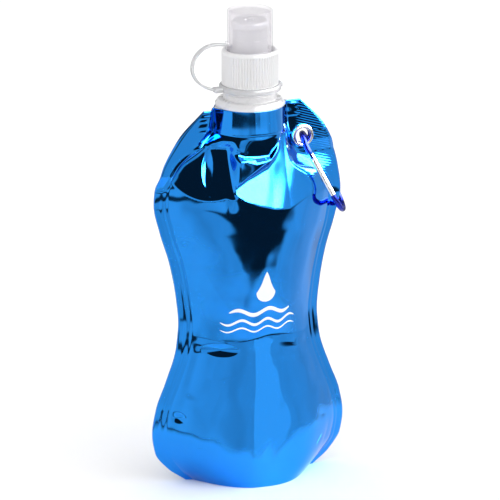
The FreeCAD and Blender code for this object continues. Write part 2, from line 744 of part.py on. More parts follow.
def clip_frame(doc, sheet):
    plan = ClipLayout(sheet)
    rod = cell(sheet, "clip_rod_radius")
    tail = cell(sheet, "gate_tail")
    start = plan.hinge - plan.along_gate * (tail + CLIP_END_SETBACK)
    nose = plan.hinge + plan.along_gate * (cell(sheet, "gate_length") + CLIP_CLEARANCE)
    small_far = Vector(0, 0, 0)
    big_far = Vector(plan.length, 0, 0)
    spine_start = plan.mirrored(plan.small_tangent)
    spine_end = plan.mirrored(plan.big_tangent)
    path = Part.Wire([
        Part.LineSegment(start, plan.small_tangent).toShape(),
        Part.Arc(plan.small_tangent, small_far, spine_start).toShape(),
        Part.LineSegment(spine_start, spine_end).toShape(),
        Part.Arc(spine_end, big_far, plan.big_tangent).toShape(),
        Part.LineSegment(plan.big_tangent, nose).toShape(),
    ])
    body = rod_along(path, rod)
    local = FreeCAD.Placement(plan.hinge, plan.gate_turn)
    body = body.fuse(hinge_tongue(sheet, tail, local))
    body = body.cut(nose_slot(sheet, local))
    return plain_part(doc, "carabiner_frame", body.removeSplitter(), plan.placement)


def hinge_tongue(sheet, tail, local):
    """The flat tongue that carries the gate's pivot: a plate with a round end and a hole."""
    thickness = cell(sheet, "tongue_thickness")
    radius = cell(sheet, "tongue_radius")
    run = tail + TONGUE_ROOT
    plate = Part.makeBox(run, 2 * radius, thickness, Vector(-run, -radius, -thickness / 2))
    end = Part.makeCylinder(radius, thickness, Vector(0, 0, -thickness / 2), AXIS_Z)
    hole_radius = cell(sheet, "pivot_radius") + PIVOT_CLEARANCE
    hole = Part.makeCylinder(hole_radius, thickness * 2, Vector(0, 0, -thickness), AXIS_Z)
    tongue = plate.fuse(end).cut(hole)
    tongue.Placement = local
    return tongue


def nose_slot(sheet, local):
    """Slot in the nose, open to the inside, that the gate's latch pin enters."""
    radius = cell(sheet, "latch_radius") + LATCH_CLEARANCE
    start = cell(sheet, "gate_length") - NOSE_SLOT_LEAD
    run = NOSE_SLOT_LEAD + cell(sheet, "latch_reach") + NOSE_SLOT_SPARE
    corner = Vector(start, -NOSE_SLOT_REACH, -radius)
    slot = Part.makeBox(run, NOSE_SLOT_REACH + radius, 2 * radius, corner)
    slot.Placement = local
    return slot


def clip_gate(doc, sheet):
    """The gate: a tube, slotted at its hinge end, lying along local X from the pivot."""
    plan = ClipLayout(sheet)
    radius = cell(sheet, "gate_radius")
    tail = cell(sheet, "gate_tail")
    length = cell(sheet, "gate_length")
    tube = Part.makeCylinder(radius, tail + length, Vector(-tail, 0, 0), AXIS_X)
    bore_end = length - GATE_CLOSED_END
    bore = Part.makeCylinder(cell(sheet, "gate_bore_radius"), bore_end, Vector(0, 0, 0), AXIS_X)
    tube = tube.cut(bore)
    slot_width = cell(sheet, "gate_slot_width")
    slot_run = tail + cell(sheet, "gate_slot_length") - GATE_SLOT_TRIM
    corner = Vector(-tail - 1, -2 * radius, -slot_width / 2)
    slot = Part.makeBox(slot_run + 1, 4 * radius, slot_width, corner)
    tube = tube.cut(slot)
    hole = Part.makeCylinder(cell(sheet, "pivot_radius") + PIVOT_CLEARANCE, 4 * radius,
                             Vector(0, 0, -2 * radius), AXIS_Z)
    return plain_part(doc, "carabiner_gate", tube.cut(hole), plan.gate_placement)


def clip_small_parts(doc, sheet):
    plan = ClipLayout(sheet)
    radius = cell(sheet, "gate_radius")
    length = cell(sheet, "gate_length")
    pivot = Part.makeCylinder(cell(sheet, "pivot_radius"), 2 * radius, Vector(0, 0, -radius), AXIS_Z)
    latch_radius = cell(sheet, "latch_radius")
    latch = Part.makeCylinder(latch_radius, cell(sheet, "latch_reach"), Vector(length, 0, 0), AXIS_X)
    plunger_radius = cell(sheet, "gate_bore_radius") - PLUNGER_CLEARANCE
    plunger_start = cell(sheet, "tongue_radius") + PLUNGER_START_GAP
    plunger = Part.makeCylinder(plunger_radius, PLUNGER_LENGTH, Vector(plunger_start, 0, 0), AXIS_X)
    spring_start = plunger_start + PLUNGER_LENGTH + SPRING_START_GAP
    spring_room = length - GATE_CLOSED_END - spring_start - SPRING_END_GAP
    wire = cell(sheet, "spring_wire")
    coil_radius = cell(sheet, "spring_radius")
    pitch = spring_room / cell(sheet, "spring_turns")
    helix = Part.makeHelix(pitch, spring_room, coil_radius)
    section = Part.Wire(Part.Circle(Vector(coil_radius, 0, 0), Vector(0, 1, 0), wire).toShape())
    coil = Part.Wire(helix.Edges).makePipeShell([section], True, True)
    turn = FreeCAD.Placement(Vector(spring_start, 0, 0), FreeCAD.Rotation(Vector(0, 1, 0), 90))
    return [
        plain_part(doc, "gate_pivot_pin", pivot, plan.gate_placement),
        plain_part(doc, "gate_latch_pin", latch, plan.gate_placement),
        plain_part(doc, "gate_plunger", plunger, plan.gate_placement),
        plain_part(doc, "gate_spring", coil, plan.gate_placement * turn),
    ]


# ---------------------------------------------------------------- document


def check_document(doc, parts):
    for item in doc.Objects:
        if "Invalid" in item.State or "Error" in item.State:
            raise RuntimeError(f"{item.Name} is {item.State}")
    for item in parts:
        shape = item.Shape
        if shape.isNull() or not shape.isValid() or shape.Volume <= 0:
            raise RuntimeError(f"{item.Label} has no valid shape")


def main():
    doc = FreeCAD.newDocument("folding_water_bottle")
    sheet = make_sheet(doc)
    parts = [
        upper_panel(doc, sheet, "front_panel_upper", -1),
        upper_panel(doc, sheet, "back_panel_upper", 1),
        lower_panel(doc, sheet, "front_panel_lower", -1),
        lower_panel(doc, sheet, "back_panel_lower", 1),
        bottom_gusset(doc, sheet),
        spout_fitment(doc, sheet),
        cap_gasket(doc),
        screw_cap(doc, sheet),
        nozzle(doc),
        dust_cover(doc),
        tether_ring(doc),
        tether_strap(doc, sheet),
        eyelet_barrel(doc, sheet),
        eyelet_washer(doc, sheet),
        clip_frame(doc, sheet),
        clip_gate(doc, sheet),
    ]
    parts += clip_small_parts(doc, sheet)
    doc.recompute()
    check_document(doc, parts)
    os.makedirs("parts", exist_ok=True)
    for item in parts:
        item.Shape.exportStep(f"parts/{item.Label}.step")
        box = item.Shape.BoundBox
        print(f"{item.Label}: {item.Shape.Volume:.1f} mm3, {len(item.Shape.Solids)} solid, "
              f"x {box.XMin:.1f} to {box.XMax:.1f}, y {box.YMin:.1f} to {box.YMax:.1f}, "
              f"z {box.ZMin:.1f} to {box.ZMax:.1f}")


main()
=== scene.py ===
"""Folding water bottle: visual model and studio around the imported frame. Metres, +Z up, front towards -Y."""

import math

import bmesh
import bpy
import numpy as np
from mathutils import Matrix, Vector


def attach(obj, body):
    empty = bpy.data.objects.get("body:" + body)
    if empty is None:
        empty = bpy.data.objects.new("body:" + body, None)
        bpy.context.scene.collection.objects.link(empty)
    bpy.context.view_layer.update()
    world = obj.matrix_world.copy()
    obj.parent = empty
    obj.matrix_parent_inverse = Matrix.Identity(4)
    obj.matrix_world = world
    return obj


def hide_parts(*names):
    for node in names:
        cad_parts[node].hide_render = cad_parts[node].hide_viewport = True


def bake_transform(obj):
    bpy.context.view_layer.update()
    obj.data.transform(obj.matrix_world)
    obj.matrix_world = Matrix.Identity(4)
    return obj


MM = 0.001
ON_AXIS = 1e-6
MERGE_DISTANCE = 1e-7

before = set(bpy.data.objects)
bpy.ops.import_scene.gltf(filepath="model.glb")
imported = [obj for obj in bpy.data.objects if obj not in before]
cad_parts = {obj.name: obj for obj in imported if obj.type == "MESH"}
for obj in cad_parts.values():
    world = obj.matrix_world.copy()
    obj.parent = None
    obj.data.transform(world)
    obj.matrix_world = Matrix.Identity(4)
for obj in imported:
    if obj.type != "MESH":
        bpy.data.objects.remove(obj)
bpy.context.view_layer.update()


# -------------------- mesh helpers


def shade_smooth(mesh):
    mesh.polygons.foreach_set("use_smooth", [True] * len(mesh.polygons))


def add_object(name, mesh, material):
    piece = bpy.data.objects.new(name, mesh)
    bpy.context.scene.collection.objects.link(piece)
    mesh.materials.append(material)
    shade_smooth(mesh)
    return piece


def add_mesh(name, points, faces, material):
    mesh = bpy.data.meshes.new(name)
    mesh.from_pydata([tuple(p) for p in points], [], faces)
    mesh.update()
    return add_object(name, mesh, material)


def grid_faces(rows, columns, closed=False):
    """Quads between neighbours in a grid of points; closed joins the last column to the first."""
    faces = []
    across = columns if closed else columns - 1
    for row in range(rows - 1):
        for column in range(across):
            after = (column + 1) % columns
            faces.append((row * columns + column, row * columns + after,
                          (row + 1) * columns + after, (row + 1) * columns + column))
    return faces


def fix_normals(piece):
    work = bmesh.new()
    work.from_mesh(piece.data)
    bmesh.ops.recalc_face_normals(work, faces=work.faces)
    work.to_mesh(piece.data)
    work.free()
    return piece


def apply_modifiers(piece):
    """Keep the mesh that the modifiers give, and drop the modifiers."""
    graph = bpy.context.evaluated_depsgraph_get()
    done = bpy.data.meshes.new_from_object(piece.evaluated_get(graph))
    piece.modifiers.clear()
    old = piece.data
    piece.data = done
    bpy.data.meshes.remove(old)
    return piece


def rounded(profile, radius=0.25, steps=3):
    """Round the corners of a closed (radius, height) outline in millimetres."""
    side_share, smallest_cut = 0.45, 1e-3
    out = []
    count = len(profile)
    for index, (r, z) in enumerate(profile):
        before = profile[index - 1]
        after = profile[(index + 1) % count]
        to_before = (before[0] - r, before[1] - z)
        to_after = (after[0] - r, after[1] - z)
        length_before = math.hypot(*to_before)
        length_after = math.hypot(*to_after)
        cut = min(radius, side_share * length_before, side_share * length_after)
        if r < ON_AXIS or cut < smallest_cut:
            out.append((r, z))
            continue
        start = (r + to_before[0] / length_before * cut, z + to_before[1] / length_before * cut)
        end = (r + to_after[0] / length_after * cut, z + to_after[1] / length_after * cut)
        for step in range(steps + 1):
            t = step / steps
            a, b, c = (1 - t) ** 2, 2 * t * (1 - t), t * t
            out.append((a * start[0] + b * r + c * end[0], a * start[1] + b * z + c * end[1]))
    return out


def lathe(name, profile, material, segments=96, wobble=None):
    """Turn a closed outline of (radius, height) in millimetres about Z."""
    points = []
    for step in range(segments):
        angle = 2 * math.pi * step / segments
        for r, z in profile:
            reach = r if wobble is None else wobble(r, z, angle)
            points.append((reach * math.cos(angle) * MM, reach * math.sin(angle) * MM, z * MM))
    count = len(profile)
    faces = []
    for step in range(segments):
        other = (step + 1) % segments
        for index in range(count):
            after = (index + 1) % count
            if max(profile[index][0], profile[after][0]) < ON_AXIS:
                continue
            faces.append((step * count + index, other * count + index,
                          other * count + after, step * count + after))
    piece = add_mesh(name, points, faces, material)
    work = bmesh.new()
    work.from_mesh(piece.data)
    bmesh.ops.remove_doubles(work, verts=work.verts, dist=MERGE_DISTANCE)
    bmesh.ops.recalc_face_normals(work, faces=work.faces)
    work.to_mesh(piece.data)
    work.free()
    shade_smooth(piece.data)
    return piece


def sharpen(piece, angle=35):
    """Keep edges over an angle crisp while the rest stays smooth."""
    work = bmesh.new()
    work.from_mesh(piece.data)
    limit = math.radians(angle)
    for edge in work.edges:
        edge.smooth = len(edge.link_faces) != 2 or edge.calc_face_angle(0) < limit
    work.to_mesh(piece.data)
    work.free()
    return piece


def combine(name, pieces, solver=None, operation="UNION"):
    """Join pieces into the first one: by a boolean where a solver is named, or as they are."""
    base = pieces[0]
    base.name = name
    if solver is None:
        work = bmesh.new()
        for piece in pieces:
            work.from_mesh(piece.data)
        work.to_mesh(base.data)
        work.free()
    else:
        for piece in pieces[1:]:
            cutter = base.modifiers.new("join", "BOOLEAN")
            cutter.operation = operation
            cutter.solver = solver
            cutter.object = piece
        bpy.context.view_layer.update()
        apply_modifiers(base)
    for piece in pieces[1:]:
        bpy.data.objects.remove(piece)
    shade_smooth(base.data)
    return base


def rounded_box(name, low, high, radius, material):
    """A box between two corners in millimetres, with all its edges rounded."""
    work = bmesh.new()
    bmesh.ops.create_cube(work, size=1.0)
    size = [(b - a) * MM for a, b in zip(low, high)]
    middle = [(a + b) / 2 * MM for a, b in zip(low, high)]
    bmesh.ops.scale(work, vec=size, verts=work.verts)
    bmesh.ops.translate(work, vec=middle, verts=work.verts)
    bmesh.ops.bevel(work, geom=list(work.edges), offset=radius * MM, segments=4, profile=0.5, affect="EDGES")
    mesh = bpy.data.meshes.new(name)
    work.to_mesh(mesh)
    work.free()
    return add_object(name, mesh, material)


def stand_in(piece, body, slot, *nodes):
    """The piece rides on a body and shows instead of CAD nodes."""
    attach(piece, body)
    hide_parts(*nodes)


def repaint(node, material):
    """Give a kept CAD node its material."""
    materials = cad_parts[node].data.materials
    for index in range(len(materials)):
        materials[index] = material


# -------------------- materials


def new_material(name, color, **sockets):
    """A material with a Principled shader: the material, its node tree and the shader."""
    material = bpy.data.materials.new(name)
    material.use_nodes = True
    shader = material.node_tree.nodes["Principled BSDF"]
    shader.inputs["Base Color"].default_value = (*color, 1)
    for socket, value in sockets.items():
        shader.inputs[socket.replace("_", " ")].default_value = value
    return material, material.node_tree, shader


def noise(tree, scale, detail=2.0):
    """Noise over the piece; scale is in cells per metre."""
    coordinates = tree.nodes.new("ShaderNodeTexCoord")
    texture = tree.nodes.new("ShaderNodeTexNoise")
    texture.inputs["Scale"].default_value = scale
    texture.inputs["Detail"].default_value = detail
    tree.links.new(coordinates.outputs["Object"], texture.inputs["Vector"])
    return texture.outputs["Fac"]


def remap(tree, value, low, high):
    """A 0 to 1 value spread over another range."""
    ranger = tree.nodes.new("ShaderNodeMapRange")
    ranger.inputs["To Min"].default_value = low
    ranger.inputs["To Max"].default_value = high
    tree.links.new(value, ranger.inputs["Value"])
    return ranger.outputs["Result"]


def fade(tree, value, low, high, interpolation="LINEAR"):
    """0 up to low, 1 from high on, and a rise between them."""
    ranger = tree.nodes.new("ShaderNodeMapRange")
    ranger.interpolation_type = interpolation
    ranger.inputs["From Min"].default_value = low
    ranger.inputs["From Max"].default_value = high
    tree.links.new(value, ranger.inputs["Value"])
    return ranger.outputs["Result"]


def show_mix(tree, factor, first, second, output="Material Output"):
    """Put a mix of two shaders on the output."""
    mix = tree.nodes.new("ShaderNodeMixShader")
    tree.links.new(factor, mix.inputs["Fac"])
    tree.links.new(first, mix.inputs[1])
    tree.links.new(second, mix.inputs[2])
    tree.links.new(mix.outputs["Shader"], tree.nodes[output].inputs["Surface"])


def math_node(tree, operation, first, second=None):
    """A Math node; each input is a number or an output."""
    node = tree.nodes.new("ShaderNodeMath")
    node.operation = operation
    for socket, value in zip(node.inputs, (first, second)):
        if value is None:
            continue
        if isinstance(value, (int, float)):
            socket.default_value = value
        else:
            tree.links.new(value, socket)
    return node.outputs["Value"]


def bump(tree, shader, height, strength, distance):
    """Bump from a height; distance is in metres."""
    node = tree.nodes.new("ShaderNodeBump")
    node.inputs["Strength"].default_value = strength
    node.inputs["Distance"].default_value = distance
    tree.links.new(height, node.inputs["Height"])
    tree.links.new(node.outputs["Normal"], shader.inputs["Normal"])
    return node


def embossed_ribs(tree):
    """Fine ribs that the sealing bars leave on the wing beside the eyelet, fading in across and up."""
    phase_per_metre = (1500.0, 0.0, 4700.0)
    fade_in = (("X", 0.024, 0.030), ("Z", 0.158, 0.166))
    coordinates = tree.nodes.new("ShaderNodeTexCoord")
    apart = tree.nodes.new("ShaderNodeSeparateXYZ")
    tree.links.new(coordinates.outputs["Object"], apart.inputs[0])
    wave = tree.nodes.new("ShaderNodeVectorMath")
    wave.operation = "DOT_PRODUCT"
    wave.inputs[1].default_value = phase_per_metre
    tree.links.new(coordinates.outputs["Object"], wave.inputs[0])
    height = math_node(tree, "SINE", wave.outputs["Value"])
    for axis, low, high in fade_in:
        height = math_node(tree, "MULTIPLY", height, fade(tree, apart.outputs[axis], low, high))
    return height


def film_material():
    """Metallised film: a blue mirror under a thin clear coat, with slow waves and the sealing bars' ribs."""
    material, tree, shader = new_material(
        "metallised_blue_film", (0.016, 0.25, 0.77), Metallic=1.0, Roughness=0.05,
        Coat_Weight=0.12, Coat_Roughness=0.02, Coat_IOR=1.5)
    tree.links.new(remap(tree, noise(tree, 70, 3), 0.03, 0.085), shader.inputs["Roughness"])
    waves = bump(tree, shader, noise(tree, 55, 2), strength=0.12, distance=0.0006)
    ribs = bump(tree, shader, embossed_ribs(tree), strength=0.16, distance=0.00012)
    tree.links.new(waves.outputs["Normal"], ribs.inputs["Normal"])
    return material


def plastic_material(name, color, roughness, subsurface=0.15, transmission=0.0):
    """Moulded plastic with uneven gloss and a fine grain."""
    material, tree, shader = new_material(
        name, color, Roughness=roughness, IOR=1.49,
        Subsurface_Weight=subsurface, Subsurface_Scale=0.004, Transmission_Weight=transmission)
    shader.inputs["Subsurface Radius"].default_value = (1.0, 0.95, 0.9)
    spread = 0.06
    tree.links.new(remap(tree, noise(tree, 240, 3), roughness - spread, roughness + spread),
                   shader.inputs["Roughness"])
    bump(tree, shader, noise(tree, 900, 2), strength=0.05, distance=0.0002)
    return material


def clear_material():
    """Thin clear plastic: seen straight through where it faces the eye, milky and glossy at its edges."""
    material, tree, shader = new_material(
        "clear_cover_plastic", (0.86, 0.845, 0.87), Roughness=0.08, IOR=1.46)
    tree.links.new(remap(tree, noise(tree, 120, 2), 0.04, 0.12), shader.inputs["Roughness"])
    weight = tree.nodes.new("ShaderNodeLayerWeight")
    weight.inputs["Blend"].default_value = 0.22
    through = tree.nodes.new("ShaderNodeBsdfTransparent")
    through.inputs["Color"].default_value = (0.97, 0.965, 0.975, 1)
    show_mix(tree, remap(tree, weight.outputs["Facing"], 0.03, 0.75), through.outputs["BSDF"],
             shader.outputs["BSDF"])
    return material


def metal_material(name, color, roughness):
    """Polished metal with patches of duller gloss and a fine grain."""
    material, tree, shader = new_material(name, color, Metallic=1.0, Roughness=roughness)
    tree.links.new(remap(tree, noise(tree, 300, 3), roughness * 0.6, roughness * 1.5),
                   shader.inputs["Roughness"])
    bump(tree, shader, noise(tree, 600, 2), strength=0.04, distance=0.0002)
    return material


def ink_material():
    """Screen-printed ink: slightly uneven gloss and a fine grain."""
    material, tree, shader = new_material("white_print_ink", (0.93, 0.94, 0.95))
    tree.links.new(remap(tree, noise(tree, 260, 3.0), 0.32, 0.5), shader.inputs["Roughness"])
    bump(tree, shader, noise(tree, 2600, 2.0), strength=0.08, distance=0.0001)
    return material


FILM = film_material()
CAP_WHITE = plastic_material("white_cap_plastic", (0.80, 0.795, 0.805), 0.34, subsurface=0.03)
NOZZLE_WHITE = plastic_material("white_nozzle_plastic", (0.84, 0.84, 0.85), 0.32)
SPOUT_WHITE = plastic_material("natural_spout_plastic", (0.74, 0.735, 0.745), 0.28,
                               subsurface=0.3)
TETHER_WHITE = plastic_material("translucent_tether_plastic", (0.86, 0.86, 0.88), 0.25,
                                subsurface=0.3, transmission=0.45)
CLEAR = clear_material()
NICKEL = metal_material("bright_nickel", (0.80, 0.78, 0.75), 0.14)
BLUE_ROD = metal_material("blue_anodised_rod", (0.02, 0.035, 0.36), 0.22)
GATE_METAL = metal_material("drawn_aluminium", (0.86, 0.86, 0.87), 0.2)
STEEL = metal_material("plain_steel", (0.55, 0.55, 0.57), 0.3)
FOAM = plastic_material("foamed_gasket", (0.82, 0.82, 0.80), 0.7, subsurface=0.1)
INK = ink_material()


# -------------------- film pouch

# Cross-sections in millimetres: height, half width, seal edge left, seal edge right, half depth,
# and the power of the bulge, as in the CAD model.
STATIONS = np.array([
    (0.0, 36.5, 33.0, 33.0, 25.6, 2.4),
    (7.0, 46.2, 40.7, 40.7, 24.9, 2.4),
    (16.0, 53.0, 46.6, 46.6, 23.9, 2.35),
    (27.0, 54.7, 48.3, 48.3, 22.5, 2.3),
    (40.0, 52.6, 46.2, 46.2, 20.6, 2.2),
    (55.0, 46.9, 40.5, 40.5, 18.3, 2.1),
    (71.0, 41.4, 35.0, 35.0, 15.7, 2.0),
    (79.0, 40.2, 33.8, 33.8, 14.5, 2.0),
    (87.0, 39.6, 33.2, 33.2, 15.2, 2.0),
    (102.0, 41.0, 34.6, 34.6, 17.0, 2.0),
    (120.0, 44.4, 38.0, 38.0, 19.0, 2.0),
    (138.0, 49.9, 43.5, 43.0, 20.1, 2.0),
    (153.0, 53.1, 46.7, 45.0, 20.3, 2.0),
    (164.0, 52.0, 45.6, 40.0, 19.9, 2.0),
    (174.0, 49.7, 41.0, 27.0, 19.1, 2.1),
    (186.0, 44.0, 27.0, 21.6, 17.2, 2.5),
    (192.0, 40.2, 21.2, 21.2, 16.4, 2.6),
    (204.0, 28.5, 20.5, 20.5, 16.0, 2.6),
])
HALF_WIDTH, SEAL_LEFT, SEAL_RIGHT, HALF_DEPTH, FULLNESS = range(1, 6)
FILM_TOP = 204.0
# Outer and inner face of the film, out from its middle line.
FILM_OUT = 0.45
FILM_IN = 0.10
FLANGE_COLUMNS = 10
BODY_COLUMNS = 200
FILM_ROWS = 400
FOLD_HEIGHT = 79.0
WELD_HEIGHT = 191.0
EYELET = (29.6, 184.0)
EYELET_HOLE = 4.9

# Creases: points across and up, height (out of the film is positive) and width, in millimetres.
FRONT_CREASES = (
    (((-22, 190.5), (-27.5, 180), (-30.8, 172), (-30.3, 166), (-27.6, 160)), 0.5, 0.8),
    (((-22, 190.5), (-22.4, 186), (-23.4, 176), (-25, 167), (-27.6, 160)), 0.45, 0.7),
    (((-21, 190), (-15, 186.5), (-9.5, 181)), 0.7, 2.0),
    (((-45.5, 160), (-43, 169), (-39, 176)), 0.3, 0.9),
    (((-24, 68), (-27, 52), (-34, 37)), 0.10, 0.8),
    (((-18, 67), (-21, 54), (-29, 36)), 0.08, 0.8),
    (((-31, 84), (-35, 66), (-42, 44)), 0.15, 1.2),
    (((-8, 66), (-14, 60), (-22, 57), (-33, 60)), 0.08, 1.2),
    (((8, 74), (18, 66), (27, 60), (36, 44)), 0.10, 1.4),
    (((-30, 120), (-22, 104), (-14, 92)), 0.06, 2.5),
    (((14, 118), (24, 104), (30, 96)), 0.06, 2.5),
)
BACK_CREASES = (
    (((22, 190), (28, 181), (31, 172), (27, 160)), 0.7, 1.6),
    (((21, 190), (14, 185), (4, 180), (-8, 178)), -1.1, 2.2),
    (((-22, 190), (-28, 178), (-33, 166)), 0.6, 1.8),
    (((-12, 176), (2, 168), (16, 166)), 0.4, 2.4),
    (((26, 78), (31, 60), (38, 40)), 0.5, 1.6),
    (((-27, 76), (-32, 58), (-40, 42)), 0.5, 1.6),
    (((-14, 70), (-4, 63), (10, 64)), 0.3, 2.0),
)
# Dents: centre, reach across and up, turn in degrees, depth and the power of the bowl.
FRONT_DENTS = (
    ((-20.5, 73.6), (9.5, 3.6), -2, 1.1, 1.3),
    ((-43.2, 36.8), (4.6, 3.2), -12, 1.3, 1.0),
    ((39.0, 30.5), (8.5, 5.0), -25, 0.35, 0.8),
    ((15.0, 70.0), (12.0, 5.0), -18, 0.25, 1.4),
    ((-27.0, 173.0), (2.6, 11.0), -8, 1.2, 1.2),
    ((-38.5, 132.5), (1.0, 1.6), 0, 0.3, 1.2),
    ((-34.5, 20.5), (4.0, 1.4), 4, -0.15, 1.2),
)
BACK_DENTS = (
    ((18.0, 72.0), (9.0, 4.5), 4, 1.9, 1.1),
    ((41.0, 35.0), (5.0, 4.0), 12, 1.4, 1.0),
    ((-38.0, 31.0), (9.0, 6.0), 20, 0.8, 0.9),
    ((24.0, 172.0), (2.8, 9.0), 8, 1.2, 1.2),
)
# The gusset's welded curve, from the side seam to the base, mirrored on the other side.
GUSSET_WELD = ((46.0, 31.0), (42.5, 20.0), (36.0, 10.0), (27.0, 3.0), (24.0, 0.0))
# Lower edge of the right facet, and the fold that parts it from the spout.
RIGHT_RIDGE = ((-17.0, 162.5), (-10.0, 157.5), (-2.6, 154.0), (6.0, 151.3), (15.5, 150.2), (28.0, 154.5),
               (38.0, 160.0))
SPOUT_FOLD = ((-17.5, 161.0), (-15.0, 166.0), (-8.0, 171.0), (4.0, 179.0), (9.0, 185.0), (12.5, 191.0))
# The ledge where the chest folds in to the flat part round the spout: across, height and half width.
LEDGE = np.array([(-24.0, 184.0, 1.4), (-20.0, 181.5, 2.6), (-14.0, 180.0, 2.4), (-9.5, 179.3, 0.7),
                  (-4.0, 178.2, 1.8), (4.0, 178.8, 1.0), (12.0, 187.0, 1.0), (20.0, 190.0, 1.0)])
# The flattened chest: reference height, fall per millimetre above it, power, middle, and the fades below
# and at both sides (as minus the distance from the middle).
CHEST_HEIGHT = 160.0
CHEST_FALL = 0.02
CHEST_POWER = 3.0
CHEST_MIDDLE = -4.0
CHEST_FADE_UP = (149, 162)
CHEST_FADE_ACROSS = (-17, -11)
NECK_DEPTH = 16.7
# The left facet is a plane: its half depth at one point, its slopes, and the fades to the right and above.
LEFT_FACET_AT = (-38, 162.0)
LEFT_FACET_DEPTH = 5.6
LEFT_FACET_SLOPES = (0.53, 0.41)
LEFT_FACET_FADE_ACROSS = (13, 17)
LEFT_FACET_FADE_UP = (183, 189)
# The right facet: its slope, how wide it rolls into the spout's fold (across, width), and its fades.
RIGHT_FACET_SLOPE = 0.27
RIGHT_FACET_ROLL = ((-17.0, -8.0, 4.0, 12.0), (2.2, 3.5, 7.0, 10.0))
RIGHT_FACET_START = 4
RIGHT_FACET_FADE_UP = (187.5, WELD_HEIGHT - 0.5)
# Plain raised windows that the sealing bars leave beside the spout: left, right, low, high.
WINDOWS = ((-28.6, -22.8, 191.8, 201.4), (22.2, 26.6, 195.4, 202.6))
# Beads along the side seals: distance out from the seal's edge, width and height.
BEADS = ((0.9, 0.55, 0.32), (2.6, 0.5, -0.2))
# The upper left seam leans forward from this height, by this much per millimetre.
LEFT_LEAN_START = 160.0
LEFT_LEAN = 0.13
# How far the side seams lean back: height, left side, right side.
SEAM_LEAN = np.array([(0.0, 1.5, 1.0), (12.0, 3.0, 3.0), (150.0, 3.2, 3.2), (164.0, 3.6, 4.6),
                      (174.0, 4.6, 5.2), (181.0, 5.6, 0.8), (186.0, 6.4, 0.0), (204.0, 7.0, 0.0)])


def station(field, heights):
    """A station field at any heights: a smooth curve through the stations without overshoot."""
    known = STATIONS[:, 0]
    values = STATIONS[:, field]
    steps = np.diff(values) / np.diff(known)
    before, after = steps[:-1], steps[1:]
    total = np.where(np.abs(before + after) < 1e-12, 1, before + after)
    inner = np.where(before * after > 0, 2 * before * after / total, 0)
    slopes = np.concatenate([steps[:1], inner, steps[-1:]])
    index = np.clip(np.searchsorted(known, heights, side="left") - 1, 0, len(known) - 2)
    run = known[index + 1] - known[index]
    share = (heights - known[index]) / run
    rise = share * share * (3 - 2 * share)
    lean_in = slopes[index] * run * share * (1 - share) ** 2
    lean_out = slopes[index + 1] * run * share * share * (1 - share)
    return values[index] + (values[index + 1] - values[index]) * rise + lean_in - lean_out


def smoothstep(value, low, high):
    """0 below low, 1 above high, and a smooth rise between them."""
    share = np.clip((value - low) / (high - low), 0, 1)
    return share * share * (3 - 2 * share)


def seal_at(x, z):
    """Distance of the seal's inner edge from the middle, on the side of each position."""
    return np.where(x < 0, station(SEAL_LEFT, z), station(SEAL_RIGHT, z))


def seal_share(x, z):
    """How far out a point lies, from 0 in the middle to 1 at the seal's edge."""
    return np.clip(np.abs(x) / seal_at(x, z), 0, 1)


def base_depth(x, z):
    """Half depth of the plain pouch at positions across and up, in millimetres."""
    return station(HALF_DEPTH, z) * (1 - seal_share(x, z) ** station(FULLNESS, z))


def line_distance(x, z, points):
    """Distance from a polyline in the film's plane, and the share of its length at the nearest point."""
    best = np.full(np.shape(x), np.inf)
    spot = np.zeros(np.shape(x))
    lengths = [math.dist(a, b) for a, b in zip(points, points[1:])]
    travelled = 0.0
    for (ax, az), (bx, bz), length in zip(points, points[1:], lengths):
        along = ((x - ax) * (bx - ax) + (z - az) * (bz - az)) / length ** 2
        along = np.clip(along, 0, 1)
        distance = np.hypot(x - ax - along * (bx - ax), z - az - along * (bz - az))
        nearer = distance < best
        best = np.where(nearer, distance, best)
        spot = np.where(nearer, travelled + along * length, spot)
        travelled += length
    return best, spot / travelled


def crease(x, z, points, height, width):
    """A crease along a polyline, with a hardly rounded top, that gets lower towards both ends."""
    rounding, end_share = 0.1, 0.04
    distance, spot = line_distance(x, z, points)
    profile = np.exp(-np.sqrt(distance ** 2 + rounding) / width)
    return height * profile * np.sin(math.pi * np.clip(spot, end_share, 1 - end_share)) ** 0.5


def dent(x, z, centre, reach, turn, depth, power):
    """A turned elliptical bowl pressed into the film."""
    angle = math.radians(turn)
    across, up = x - centre[0], z - centre[1]
    u = (across * math.cos(angle) + up * math.sin(angle)) / reach[0]
    v = (-across * math.sin(angle) + up * math.cos(angle)) / reach[1]
    return -depth * np.clip(1 - np.hypot(u, v) ** power, 0, None)


def flat_chest(x, z, depth):
    """The front film's flattened chest and the ledge where it steps in to the neck under the spout."""
    share = seal_share(x, z)
    ledge = np.interp(x, LEDGE[:, 0], LEDGE[:, 1])
    width = np.interp(x, LEDGE[:, 0], LEDGE[:, 2])
    shape = 1 - share ** station(FULLNESS, z)
    flat = 1 - share ** CHEST_POWER
    chest = flat * (station(HALF_DEPTH, np.full_like(z, CHEST_HEIGHT)) - CHEST_FALL * (z - CHEST_HEIGHT))
    neck = np.minimum(NECK_DEPTH, station(HALF_DEPTH, z)) * shape
    folded = chest + (neck - chest) * smoothstep(z, ledge - width, ledge + width)
    across = smoothstep(-np.abs(x - CHEST_MIDDLE), *CHEST_FADE_ACROSS)
    return depth + (folded - depth) * (smoothstep(z, *CHEST_FADE_UP) * across)


def left_facet(x, z, depth):
    """The film cut off by a sloping plane, left of the neck."""
    slope_across, slope_up = LEFT_FACET_SLOPES
    plane = LEFT_FACET_DEPTH + slope_across * (x - LEFT_FACET_AT[0]) - slope_up * (z - LEFT_FACET_AT[1])
    change = np.minimum(depth, plane) - depth
    return depth + change * smoothstep(-x, *LEFT_FACET_FADE_ACROSS) * (1 - smoothstep(z, *LEFT_FACET_FADE_UP))


